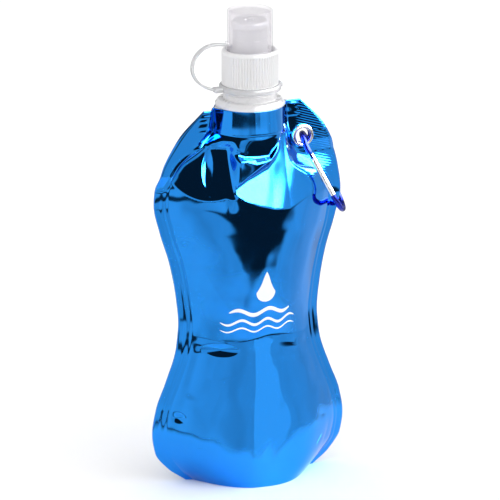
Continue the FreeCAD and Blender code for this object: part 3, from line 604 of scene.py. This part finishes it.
def right_facet(x, z, depth):
    """The film falling away above a ridge line, right of the fold that runs up to the spout."""
    ridge = np.interp(x, [p[0] for p in RIGHT_RIDGE], [p[1] for p in RIGHT_RIDGE])
    fallen = base_depth(x, ridge) - RIGHT_FACET_SLOPE * (z - ridge)
    change = np.where(z > ridge, np.minimum(depth, fallen), depth) - depth
    fold = np.interp(x, [p[0] for p in SPOUT_FOLD], [p[1] for p in SPOUT_FOLD])
    fold = np.where(x > SPOUT_FOLD[-1][0], FILM_TOP, fold)
    beside_fold = smoothstep(fold - z, 0.0, np.interp(x, *RIGHT_FACET_ROLL))
    start = SPOUT_FOLD[0][0]
    across = smoothstep(x, start, start + RIGHT_FACET_START)
    inside = beside_fold * (1 - smoothstep(z, *RIGHT_FACET_FADE_UP)) * across
    return depth + change * inside


def waist_pinch(x, z):
    """The soft wavy crease where the pouch folds."""
    depth, swing, length, phase, width = 0.45, 1.6, 6.5, 0.6, 5.0
    return -depth * np.exp(-np.abs(z - FOLD_HEIGHT - swing * np.sin(x / length + phase)) / width)


def belly_fall(x, z, side):
    """How far the film falls away on both sides of the upright ridge in the middle of the belly."""
    top, offset, lean, slope, width, fade = 74, 2.8, 0.077, 0.055, 12, (70, 77)
    middle = -side * (offset + (top - z) * lean)
    return slope * width * (1 - np.exp(-np.abs(x + middle) / width)) * (1 - smoothstep(z, *fade))


def ripples(x, z):
    """Two slow waves that keep the film from being quite smooth."""
    slow = 0.11 * np.sin(x / 4.3 + z / 9.1 + 0.8 * np.sin(z / 7.3))
    return slow, 0.05 * np.sin(x / 2.3 - z / 5.2 + np.sin(x / 5.9))


def weld_step(z, room):
    """The film standing out round the plug that it is welded to."""
    height, fall, half_step, edge = 0.35, 0.027, 0.4, 0.15
    step = (height - fall * np.clip(z - WELD_HEIGHT, 0, None)) * smoothstep(room, 0.0, edge)
    return step * smoothstep(z, WELD_HEIGHT - half_step, WELD_HEIGHT + half_step)


def seal_marks(x, z):
    """Beads along the side seals, and the raised windows."""
    fade_in, fade_out, window_height, window_edge = (4, 14), (176, 184), 0.3, 0.3
    beside = np.abs(x) - seal_at(x, z)
    marks = sum(height * np.exp(-((beside - out) / width) ** 2) for out, width, height in BEADS)
    marks *= smoothstep(z, *fade_in) * (1 - smoothstep(z, *fade_out))
    for left, right, low, high in WINDOWS:
        inside = np.minimum(np.minimum(x - left, right - x), np.minimum(z - low, high - z))
        marks = marks + window_height * smoothstep(inside, -window_edge, window_edge)
    return marks


def film_depth(x, z, side):
    """Half depth of the creased pouch, from the middle to the film."""
    weld_crease, weld_width, edge_fade, weld_fade = -0.3, 1.6, 0.25, 2.5
    depth = base_depth(x, z)
    room = 1 - seal_share(x, z) ** 2
    creases, dents = (FRONT_CREASES, FRONT_DENTS) if side < 0 else (BACK_CREASES, BACK_DENTS)
    if side < 0:
        depth = right_facet(x, z, left_facet(x, z, flat_chest(x, z, depth)))
    change = waist_pinch(x, z) - belly_fall(x, z, side)
    for points, height, width in creases:
        change += crease(x, z, points, height, width)
    for numbers in dents:
        change += dent(x, z, *numbers)
    for ripple in ripples(x, z):
        change += ripple
    for mirror in (-1, 1):
        weld = [(mirror * across, up) for across, up in GUSSET_WELD]
        change += crease(x, z, weld, weld_crease, weld_width)
    change *= smoothstep(room, 0.0, edge_fade) * (1 - smoothstep(z, WELD_HEIGHT - weld_fade, WELD_HEIGHT))
    return np.maximum(depth + change, 0) + weld_step(z, room) + seal_marks(x, z)


def seam_shift(x, z):
    """How far both films move back (+Y) in the side seams; the upper left seam comes forward."""
    thin_depth, seam_only, beside_spout, full_lean = 2.5, (0.2, 4.0), (183, 190), 170
    seal = seal_at(x, z)
    share = np.clip((np.abs(x) - seal) / (station(HALF_WIDTH, z) - seal), 0, 1)
    left = np.interp(z, SEAM_LEAN[:, 0], SEAM_LEAN[:, 1])
    right = np.interp(z, SEAM_LEAN[:, 0], SEAM_LEAN[:, 2])
    shift = np.where(x < 0, left, right) * share
    clear = smoothstep(np.abs(x) - seal, *seam_only)
    weight = np.exp(-base_depth(x, z) / thin_depth) * (1 - smoothstep(z, *beside_spout) * (1 - clear))
    forward = -LEFT_LEAN * np.clip(z - LEFT_LEAN_START, 0, None) * weight
    leaning = smoothstep(z, LEFT_LEAN_START, full_lean)
    return np.where(x < 0, shift + (forward - shift) * leaning, shift)


def film_point(x, z, side, out=FILM_OUT):
    """Points on one film in metres; out is how far off its middle line they lie, in millimetres."""
    depth = film_depth(x, z, side)
    y = side * (depth + out) + seam_shift(x, z)
    return np.stack([x, y, z], axis=-1) * MM


def film_grid():
    """Positions across and up for one film, with columns that follow its edge and seals."""
    z = np.linspace(0.0, FILM_TOP, FILM_ROWS)
    half_width, left, right = (station(field, z) for field in (HALF_WIDTH, SEAL_LEFT, SEAL_RIGHT))
    flange = np.linspace(0, 1, FLANGE_COLUMNS)[:-1]
    body = np.linspace(0, 1, BODY_COLUMNS)
    columns = [-half_width[:, None] + (half_width - left)[:, None] * flange[None, :],
               -left[:, None] + (left + right)[:, None] * body[None, :],
               right[:, None] + (half_width - right)[:, None] * (1 - flange[::-1])[None, :]]
    x = np.concatenate(columns, axis=1)
    return x, np.repeat(z[:, None], x.shape[1], axis=1)


def thick_sheet(name, outer, inner, keep, material):
    """A closed sheet between two grids of points, with the cells that are kept and a rim round them."""
    rows, columns = outer.shape[:2]
    count = rows * columns
    cells = np.argwhere(keep)
    a = cells[:, 0] * columns + cells[:, 1]
    quads = np.stack([a, a + 1, a + columns + 1, a + columns], axis=1)
    edges = np.concatenate([quads[:, [k, (k + 1) % 4]] for k in range(4)])
    low, high = edges.min(axis=1), edges.max(axis=1)
    _, first, counts = np.unique(low * count + high, return_index=True, return_counts=True)
    rim = edges[first[counts == 1]]
    walls = np.stack([rim[:, 1], rim[:, 0], rim[:, 0] + count, rim[:, 1] + count], axis=1)
    faces = np.concatenate([quads, quads[:, ::-1] + count, walls])
    points = np.concatenate([outer.reshape(-1, 3), inner.reshape(-1, 3)])
    used = np.unique(faces)
    renumber = np.zeros(len(points), dtype=int)
    renumber[used] = np.arange(len(used))
    piece = add_mesh(name, points[used].tolist(), renumber[faces].tolist(), material)
    return fix_normals(piece)


def film_piece(name, side):
    """One film, front (-1) or back (1), with the hole for the eyelet."""
    x, z = film_grid()
    cell_x = (x[:-1, :-1] + x[1:, 1:]) / 2
    cell_z = (z[:-1, :-1] + z[1:, 1:]) / 2
    keep = np.hypot(cell_x - EYELET[0], cell_z - EYELET[1]) > EYELET_HOLE
    piece = thick_sheet(name, film_point(x, z, side), film_point(x, z, side, FILM_IN), keep, FILM)
    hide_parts(f"{name.split('_')[0]}_panel_upper", f"{name.split('_')[0]}_panel_lower")
    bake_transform(piece)


film_piece("front_film", -1)
film_piece("back_film", 1)


def gusset():
    """The folded base panel: an arch from front to back that rises towards both side seams."""
    half_length, end_rise, arch, foot_gap, wall = 42.0, 24.0, 5.0, 0.3, 0.35
    pleat_height, pleat_turn = 0.5, 0.9
    across, forward = np.meshgrid(np.linspace(-half_length, half_length, 120), np.linspace(-1, 1, 60))
    share = np.abs(across) / half_length
    foot = foot_gap + end_rise * share ** 2
    reach = base_depth(across, foot) - foot_gap
    pleat = pleat_height * np.cos(across * pleat_turn) * (1 - forward ** 2) * share
    height = foot + arch * (1 - share ** 2) * (1 - np.abs(forward) ** 1.5) + pleat
    under = np.stack([across, reach * forward, height], axis=-1) * MM
    over = under + np.array([0, 0, wall * MM])
    keep = np.ones((under.shape[0] - 1, under.shape[1] - 1), dtype=bool)
    piece = thick_sheet("base_gusset", over, under, keep, FILM)
    stand_in(piece, "lower_pouch", "film", "bottom_gusset")


gusset()


# -------------------- print

PRINT_LIFT = 0.05
PRINT_THICKNESS = 0.06


def printed(name, x, z):
    """A thin layer of ink on the front film over a grid of positions."""
    outer = film_point(x, z, -1, FILM_OUT + PRINT_LIFT + PRINT_THICKNESS)
    inner = film_point(x, z, -1, FILM_OUT + PRINT_LIFT)
    keep = np.ones((x.shape[0] - 1, x.shape[1] - 1), dtype=bool)
    piece = thick_sheet(name, outer, inner, keep, INK)
    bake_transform(piece)


def print_drop():
    """A plain water drop, round below and pointed above."""
    middle, bottom, height, radius = 2.0, 100.0, 17.0, 5.4
    swell, hollow, tip_width = 0.35, 0.25, 0.02
    up, across = np.meshgrid(np.linspace(0.0, 1, 60), np.linspace(-1, 1, 40), indexing="ij")
    low = np.sqrt(np.clip(1 - ((up * height - radius) / radius) ** 2, 0, 1)) * radius
    rise = np.clip((up * height - radius) / (height - radius), 0, 1)
    high = radius * (1 - rise) * (1 + swell * rise) * (1 - hollow * np.sin(math.pi * rise))
    half = np.where(up * height < radius, low, high) + tip_width
    printed("print_drop", middle + across * half, bottom + up * height)


def print_wave(name, middle, height, length, swing, stroke, cycles):
    """A wavy line of ink whose ends taper."""
    along, across = np.meshgrid(np.linspace(-1, 1, 120), np.linspace(-1, 1, 6), indexing="ij")
    taper = np.sqrt(np.clip(1 - np.abs(along) ** 6, 0.02, 1))
    x = middle + along * length / 2
    z = height + swing * np.sin(math.pi * cycles * along) + across * stroke / 2 * taper
    printed(name, x, z)


print_drop()
print_wave("print_wave_1", 0.0, 94.5, 34.0, 1.5, 2.2, 2.0)
print_wave("print_wave_2", 0.0, 88.8, 42.0, 1.4, 1.5, 3.0)
print_wave("print_wave_3", 0.0, 84.6, 42.0, 1.2, 0.9, 3.0)


# -------------------- spout, cap and cover


def helix_ridge(name, radius, outward, start, material):
    """A screw thread of trapezoid section that runs out at both ends."""
    pitch, turns, depth, sink, half_root, half_crest, steps, run_in = 3.5, 2.0, 1.1, 0.25, 0.55, 0.3, 64, 8
    points = []
    total = int(turns * steps)
    for step in range(total + 1):
        angle = 2 * math.pi * step / steps
        middle = start + pitch * step / steps
        full = min(1.0, step / run_in, (total - step) / run_in)
        crest = radius + outward * (depth * full - sink * (1 - full))
        root = radius - outward * sink
        for r, z in ((root, -half_root), (crest, -half_crest), (crest, half_crest), (root, half_root)):
            points.append((r * math.cos(angle) * MM, r * math.sin(angle) * MM, (middle + z) * MM))
    faces = grid_faces(total + 1, 4, closed=True)
    faces += [(0, 1, 2, 3), tuple(total * 4 + k for k in (3, 2, 1, 0))]
    return fix_normals(add_mesh(name, points, faces, material))


def welded_plug():
    """The boat-shaped plug that the film is welded to, round a hole for the neck."""
    segments, hole, inset, heights = 144, 13.2, 0.3, (192.4, 198.0, 203.9)
    rings = []
    for height in heights:
        half_depth = float(station(HALF_DEPTH, np.array([height]))[0]) - inset
        seal = float(station(SEAL_LEFT, np.array([height]))[0]) - inset
        power = float(station(FULLNESS, np.array([height]))[0])
        ring = []
        for step in range(segments):
            turn = 2 * math.pi * step / segments
            x = seal * math.cos(turn)
            y = math.copysign(half_depth * (1 - abs(x / seal) ** power), math.sin(turn))
            ring.append((x * MM, y * MM, height * MM))
        rings.append(ring)
    for height in (heights[-1], heights[0]):
        rings.append([(hole * math.cos(2 * math.pi * step / segments) * MM,
                       hole * math.sin(2 * math.pi * step / segments) * MM, height * MM)
                      for step in range(segments)])
    rings.append(rings[0])
    points = [point for ring in rings[:-1] for point in ring]
    faces = grid_faces(len(rings) - 1, segments, closed=True)
    last = (len(rings) - 2) * segments
    for step in range(segments):
        after = (step + 1) % segments
        faces.append((last + step, last + after, after, step))
    return fix_normals(add_mesh("plug", points, faces, SPOUT_WHITE))


def spout():
    neck = lathe("neck", rounded([
        (9.2, 192.4), (13.4, 192.4), (13.4, 204.2), (18.5, 204.2), (18.4, 205.3), (17.1, 206.9),
        (16.5, 207.5), (14.0, 207.5), (14.0, 210.6), (13.6, 211.0), (11.6, 211.0), (11.6, 225.4),
        (11.0, 226.0), (9.2, 226.0)], 0.3), SPOUT_WHITE, 128)
    thread = helix_ridge("thread", 11.6, 1, 214.0, SPOUT_WHITE)
    piece = sharpen(combine("spout_and_collar", [neck, welded_plug(), thread]))
    stand_in(piece, "upper_pouch", "spout_plastic", "spout_fitment")


RIB_COUNT = 60
SKIRT_RADIUS = 15.0


def rib_wobble(r, z, angle):
    """Grip ribs round the cap's skirt: shallow grooves that run out at both ends."""
    bottom, top, run_in, run_out, depth, half_groove, roundness = 215.6, 232.2, 0.5, 0.6, 0.75, 0.30, 0.8
    if r < SKIRT_RADIUS - 0.05:
        return r
    ends = min(1.0, max(0.0, (z - bottom) / run_in), max(0.0, (top - z) / run_out))
    phase = (angle * RIB_COUNT / (2 * math.pi)) % 1.0
    valley = max(0.0, 1 - abs(phase - 0.5) / half_groove)
    return r - depth * ends * valley ** roundness


def screw_cap():
    flow_holes, hole_circle, hole_radius = 4, 4.8, 1.6
    heights = [215.5, 215.8] + [216.2 + 15.2 * step / 12 for step in range(13)] + [231.8, 232.3]
    profile = rounded([(0, 227.9), (13.3, 227.9), (13.3, 211.3), (14.9, 211.3), (14.9, 211.7),
                       (14.3, 212.0), (14.3, 215.5)], 0.2)
    profile += [(SKIRT_RADIUS, height) for height in heights]
    profile += rounded([(15.0, 232.6), (14.65, 233.4), (13.9, 234.0), (13.1, 234.0), (12.8, 233.7),
                        (12.8, 230.9), (8.4, 230.9), (8.4, 242.6), (8.0, 243.0), (7.2, 243.0),
                        (7.2, 230.9), (2.2, 230.9), (2.2, 249.1), (1.7, 249.6), (0, 249.6)], 0.25)[1:]
    shell = lathe("cap_shell", profile, CAP_WHITE, RIB_COUNT * 10, rib_wobble)
    drills = []
    for number in range(flow_holes):
        drill = lathe("drill", [(0, 225.9), (hole_radius, 225.9), (hole_radius, 233.0), (0, 233.0)],
                      CAP_WHITE, 24)
        turn = 2 * math.pi * number / flow_holes
        place = (hole_circle * math.cos(turn) * MM, hole_circle * math.sin(turn) * MM, 0)
        drill.data.transform(Matrix.Translation(place))
        drills.append(drill)
    shell = combine("ribbed_cap", [shell] + drills, "EXACT", "DIFFERENCE")
    thread = helix_ridge("cap_thread", 13.3, -1, 215.75, CAP_WHITE)
    piece = sharpen(combine("ribbed_cap", [shell, thread]), 42)
    stand_in(piece, "cap", "cap_plastic", "screw_cap")


def push_nozzle():
    piece = lathe("push_nozzle", rounded([
        (8.45, 231.5), (10.3, 231.5), (10.3, 232.6), (9.9, 233.0), (9.4, 233.0), (9.2, 235.0),
        (9.2, 239.2), (9.32, 239.6), (9.2, 240.0), (9.2, 245.4), (9.9, 246.3), (9.9, 248.8), (9.0, 249.7),
        (2.8, 249.7), (2.27, 249.2), (2.27, 247.4), (8.45, 247.4)], 0.35), NOZZLE_WHITE, 128)
    stand_in(sharpen(piece, 50), "spout_nozzle", "nozzle_plastic", "nozzle")


def dust_cover():
    shell = lathe("cover_shell", rounded([
        (0, 253.6), (11.1, 253.6), (11.1, 231.2), (12.4, 231.2), (12.4, 232.5), (12.0, 232.9),
        (12.0, 254.8), (11.6, 255.3), (10.9, 255.3), (10.9, 254.5), (0, 254.5)], 0.22), CLEAR, 128)
    tab = rounded_box("cover_tab", (-13.6, -2.0, 234.5), (-11.6, 2.0, 239.0), 0.45, CLEAR)
    piece = sharpen(combine("clear_dust_cover", [shell, tab], "EXACT"), 50)
    stand_in(piece, "cover", "clear_plastic", "dust_cover")


def tether_ring():
    band = lathe("band", rounded([(14.36, 212.1), (15.9, 212.1), (16.3, 212.6), (16.3, 214.4),
                                  (15.6, 215.3), (14.36, 215.3)], 0.35), TETHER_WHITE, 128)
    lug = rounded_box("lug", (-20.5, -2.5, 212.1), (-15.5, 2.5, 214.6), 0.7, TETHER_WHITE)
    button = rounded_box("button", (15.5, -2.0, 212.1), (17.8, 2.0, 214.6), 0.6, TETHER_WHITE)
    piece = sharpen(combine("tether_band", [band, lug, button], "EXACT"), 50)
    stand_in(piece, "tether", "tether_plastic", "tether_ring")


# Middle line of the strap: distance out on the left, height, in millimetres.
STRAP_ROUTE = ((19.9, 213.4), (25.6, 215.6), (30.4, 219.9), (32.6, 225.4), (31.4, 231.2), (27.4, 235.6),
               (21.6, 237.8), (13.4, 237.2))


def smooth_route(points, steps):
    """Catmull-Rom curve through points."""
    padded = [points[0]] + list(points) + [points[-1]]
    out = []
    for index in range(1, len(padded) - 2):
        p0, p1, p2, p3 = (np.array(padded[index + k]) for k in (-1, 0, 1, 2))
        for step in range(steps):
            t = step / steps
            out.append(0.5 * (2 * p1 + (p2 - p0) * t + (2 * p0 - 5 * p1 + 4 * p2 - p3) * t ** 2
                              + (3 * p1 - p0 - 3 * p2 + p3) * t ** 3))
    out.append(np.array(points[-1]))
    return out


def tether_strap():
    half_thick, half_wide, corner, corner_steps = 0.6, 1.5, 0.35, 4
    section = []
    for cx, cy, start in ((1, 1, 0), (-1, 1, 90), (-1, -1, 180), (1, -1, 270)):
        for step in range(corner_steps + 1):
            turn = math.radians(start + 90 * step / corner_steps)
            section.append((cx * (half_thick - corner) + corner * math.cos(turn),
                            cy * (half_wide - corner) + corner * math.sin(turn)))
    route = smooth_route(STRAP_ROUTE, 10)
    points = []
    for index, here in enumerate(route):
        ahead = route[min(index + 1, len(route) - 1)] - route[max(index - 1, 0)]
        ahead = ahead / np.hypot(*ahead)
        normal = np.array([-ahead[1], ahead[0]])
        for thick, wide in section:
            out, up = here + normal * thick
            points.append((-out * MM, wide * MM, up * MM))
    sides = len(section)
    faces = grid_faces(len(route), sides, closed=True)
    faces += [tuple(range(sides))[::-1], tuple((len(route) - 1) * sides + k for k in range(sides))]
    piece = fix_normals(add_mesh("cover_strap", points, faces, TETHER_WHITE))
    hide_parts("tether_strap")
    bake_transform(piece)


spout()
screw_cap()
push_nozzle()
dust_cover()
tether_ring()
tether_strap()
repaint("cap_gasket", FOAM)


# -------------------- eyelet and clip


def to_eyelet(piece):
    """Turn a lathed piece from its own axis to the eyelet's, which points out of the front."""
    place = Matrix.Translation((EYELET[0] * MM, 0, EYELET[1] * MM)) @ Matrix.Rotation(math.pi / 2, 4, "X")
    piece.data.transform(place)
    return piece


def eyelet():
    crown_steps, crown_middle, crown_reach = 12, (5.1, 0.62), (1.1, 1.3)
    crown = []
    for step in range(crown_steps + 1):
        turn = math.pi * step / crown_steps
        crown.append((crown_middle[0] + crown_reach[0] * math.cos(turn),
                      crown_middle[1] + crown_reach[1] * math.sin(turn)))
    barrel = to_eyelet(lathe("barrel", [(4.0, -1.7), (4.35, -2.1), (5.0, -2.1), (5.5, -1.8), (5.5, -1.6),
                                        (4.7, -1.6), (4.7, 0.46), (6.2, 0.46)] + crown[:-1], NICKEL, 128))
    stand_in(sharpen(barrel, 60), "upper_pouch", "eyelet_metal", "eyelet_barrel")
    washer = to_eyelet(lathe("back_washer", rounded([(4.75, -1.6), (6.2, -1.3), (6.2, -0.5), (4.75, -0.5)],
                                                    0.2), NICKEL, 96))
    stand_in(sharpen(washer, 60), "upper_pouch", "eyelet_metal", "eyelet_washer")


eyelet()
repaint("carabiner_frame", BLUE_ROD)
repaint("carabiner_gate", GATE_METAL)
for node in ("gate_pivot_pin", "gate_latch_pin", "gate_plunger", "gate_spring"):
    repaint(node, STEEL)


# -------------------- studio


def reflected_patch(tree, place, corners, softness):
    """A factor that is 1 inside a convex patch of directions."""
    factor = None
    centre = np.mean(corners, axis=0)
    for (ax, ay), (bx, by) in zip(corners, corners[1:] + corners[:1]):
        length = math.hypot(bx - ax, by - ay)
        normal = ((ay - by) / length, (bx - ax) / length)
        offset = normal[0] * ax + normal[1] * ay
        if normal[0] * centre[0] + normal[1] * centre[1] < offset:
            normal, offset = (-normal[0], -normal[1]), -offset
        edge = tree.nodes.new("ShaderNodeVectorMath")
        edge.operation = "DOT_PRODUCT"
        edge.inputs[1].default_value = (*normal, -offset)
        tree.links.new(place, edge.inputs[0])
        if factor is None:
            factor = edge.outputs["Value"]
            continue
        factor = math_node(tree, "MINIMUM", factor, edge.outputs["Value"])
    return fade(tree, factor, -softness, softness, "SMOOTHSTEP")


# What glossy rays see in place of the plain light, fitted to the photo's reflections:
# corners (azimuth from the front, height angle), softness in degrees, and brightness.
SURROUNDINGS = (
    ([(120, -40), (180, -40), (180, 60), (120, 60)], 9.0, 0.25),
    ([(-180, -40), (-125, -40), (-125, 60), (-180, 60)], 9.0, 0.6),
    ([(-105, -60), (-50, -60), (-50, 60), (-105, 60)], 14.0, 1.35),
    ([(-8, -11.8), (78, -11.8), (64, -17.6), (43, -24), (22, -27.5), (3, -30), (-8, -27.5), (-10, -17)],
     1.2, 0.04),
    ([(-34, -18.4), (0, -18.4), (0, -29.3), (-17, -25)], 0.9, 0.04),
    ([(-74, -8.3), (20, -8.3), (20, -11.2), (-74, -11.2)], 0.5, 0.05),
    ([(-8, 11), (-36, 12.5), (-100, 19), (-170, 30), (-170, 80), (-8, 80)], 1.8, 0.04),
    ([(4, 9), (110, 9), (110, 60), (4, 60)], 2.0, 24.0),
    ([(8, -9), (30, -9), (46, -4), (46, 6), (8, 6)], 1.0, 1.5),
)
# The uneven base between the patches: noise scale, detail, lowest and highest brightness.
BASE_NOISE = (2.4, 3.0)
BASE_LEVEL = (0.55, 1.65)
WHITE_LIGHT = 1.06
# Glossy rays lose the floor between these distances from the middle, in metres.
FLOOR_MIRRORED = (0.14, 0.27)
CAMERA_AZIMUTH = -22.0
CAMERA_ELEVATION = 16.6
CAMERA_DISTANCE = 3.0
VIEW_WIDTH = 0.2645
TARGET_HEIGHT = 0.1239
SENSOR_WIDTH = 36


def surroundings(tree):
    """Brightness that glossy rays see, by direction."""
    coordinates = tree.nodes.new("ShaderNodeTexCoord")
    apart = tree.nodes.new("ShaderNodeSeparateXYZ")
    tree.links.new(coordinates.outputs["Generated"], apart.inputs[0])
    towards_front = math_node(tree, "MULTIPLY", apart.outputs["Y"], -1.0)
    azimuth = math_node(tree, "ARCTAN2", apart.outputs["X"], towards_front)
    height = math_node(tree, "ARCSINE", apart.outputs["Z"])
    place = tree.nodes.new("ShaderNodeCombineXYZ")
    tree.links.new(math_node(tree, "DEGREES", azimuth), place.inputs["X"])
    tree.links.new(math_node(tree, "DEGREES", height), place.inputs["Y"])
    place.inputs["Z"].default_value = 1.0
    cloud = tree.nodes.new("ShaderNodeTexNoise")
    cloud.inputs["Scale"].default_value, cloud.inputs["Detail"].default_value = BASE_NOISE
    tree.links.new(coordinates.outputs["Generated"], cloud.inputs["Vector"])
    level = remap(tree, cloud.outputs["Fac"], *BASE_LEVEL)
    for corners, softness, brightness in SURROUNDINGS:
        factor = reflected_patch(tree, place.outputs["Vector"], corners, softness)
        mix = tree.nodes.new("ShaderNodeMix")
        mix.inputs["B"].default_value = brightness
        tree.links.new(factor, mix.inputs["Factor"])
        tree.links.new(level, mix.inputs["A"])
        level = mix.outputs["Result"]
    return level


def floor_material():
    """Pale floor that glossy rays see only near the bottle; beyond, they see the surroundings."""
    material, tree, shader = new_material("floor_white", (0.96, 0.96, 0.96), Roughness=0.8)
    coordinates = tree.nodes.new("ShaderNodeTexCoord")
    reach = tree.nodes.new("ShaderNodeVectorMath")
    reach.operation = "LENGTH"
    tree.links.new(coordinates.outputs["Object"], reach.inputs[0])
    far = fade(tree, reach.outputs["Value"], *FLOOR_MIRRORED, "SMOOTHSTEP")
    path = tree.nodes.new("ShaderNodeLightPath")
    missed = math_node(tree, "MULTIPLY", path.outputs["Is Glossy Ray"], far)
    clear = tree.nodes.new("ShaderNodeBsdfTransparent")
    show_mix(tree, missed, shader.outputs["BSDF"], clear.outputs["BSDF"])
    return material


def light():
    """An even white world for all rays but glossy ones, which see the surroundings."""
    world = bpy.data.worlds.new("studio")
    bpy.context.scene.world = world
    world.use_nodes = True
    world.cycles.sampling_method = "NONE"
    tree = world.node_tree
    plain = tree.nodes["Background"]
    plain.inputs["Color"].default_value = (1, 1, 1, 1)
    plain.inputs["Strength"].default_value = WHITE_LIGHT
    mirrored = tree.nodes.new("ShaderNodeBackground")
    tree.links.new(surroundings(tree), mirrored.inputs["Strength"])
    path = tree.nodes.new("ShaderNodeLightPath")
    show_mix(tree, path.outputs["Is Glossy Ray"], plain.outputs["Background"],
             mirrored.outputs["Background"], "World Output")


def floor():
    add_mesh("floor", [(-4, -4, 0), (4, -4, 0), (4, 4, 0), (-4, 4, 0)], [(0, 1, 2, 3)],
                      floor_material())


def camera():
    lens = bpy.data.cameras.new("camera")
    eye = bpy.data.objects.new("camera", lens)
    bpy.context.scene.collection.objects.link(eye)
    azimuth, elevation = math.radians(CAMERA_AZIMUTH), math.radians(CAMERA_ELEVATION)
    back_way = Vector((math.sin(azimuth) * math.cos(elevation),
                       -math.cos(azimuth) * math.cos(elevation), math.sin(elevation)))
    eye.location = Vector((0, 0, TARGET_HEIGHT)) + back_way * CAMERA_DISTANCE
    eye.rotation_euler = back_way.to_track_quat("Z", "Y").to_euler()
    lens.sensor_width = SENSOR_WIDTH
    lens.lens = SENSOR_WIDTH * CAMERA_DISTANCE / VIEW_WIDTH
    lens.clip_end = 20
    bpy.context.scene.camera = eye
    bpy.context.scene.view_settings.view_transform = "Standard"


light()
floor()
camera()
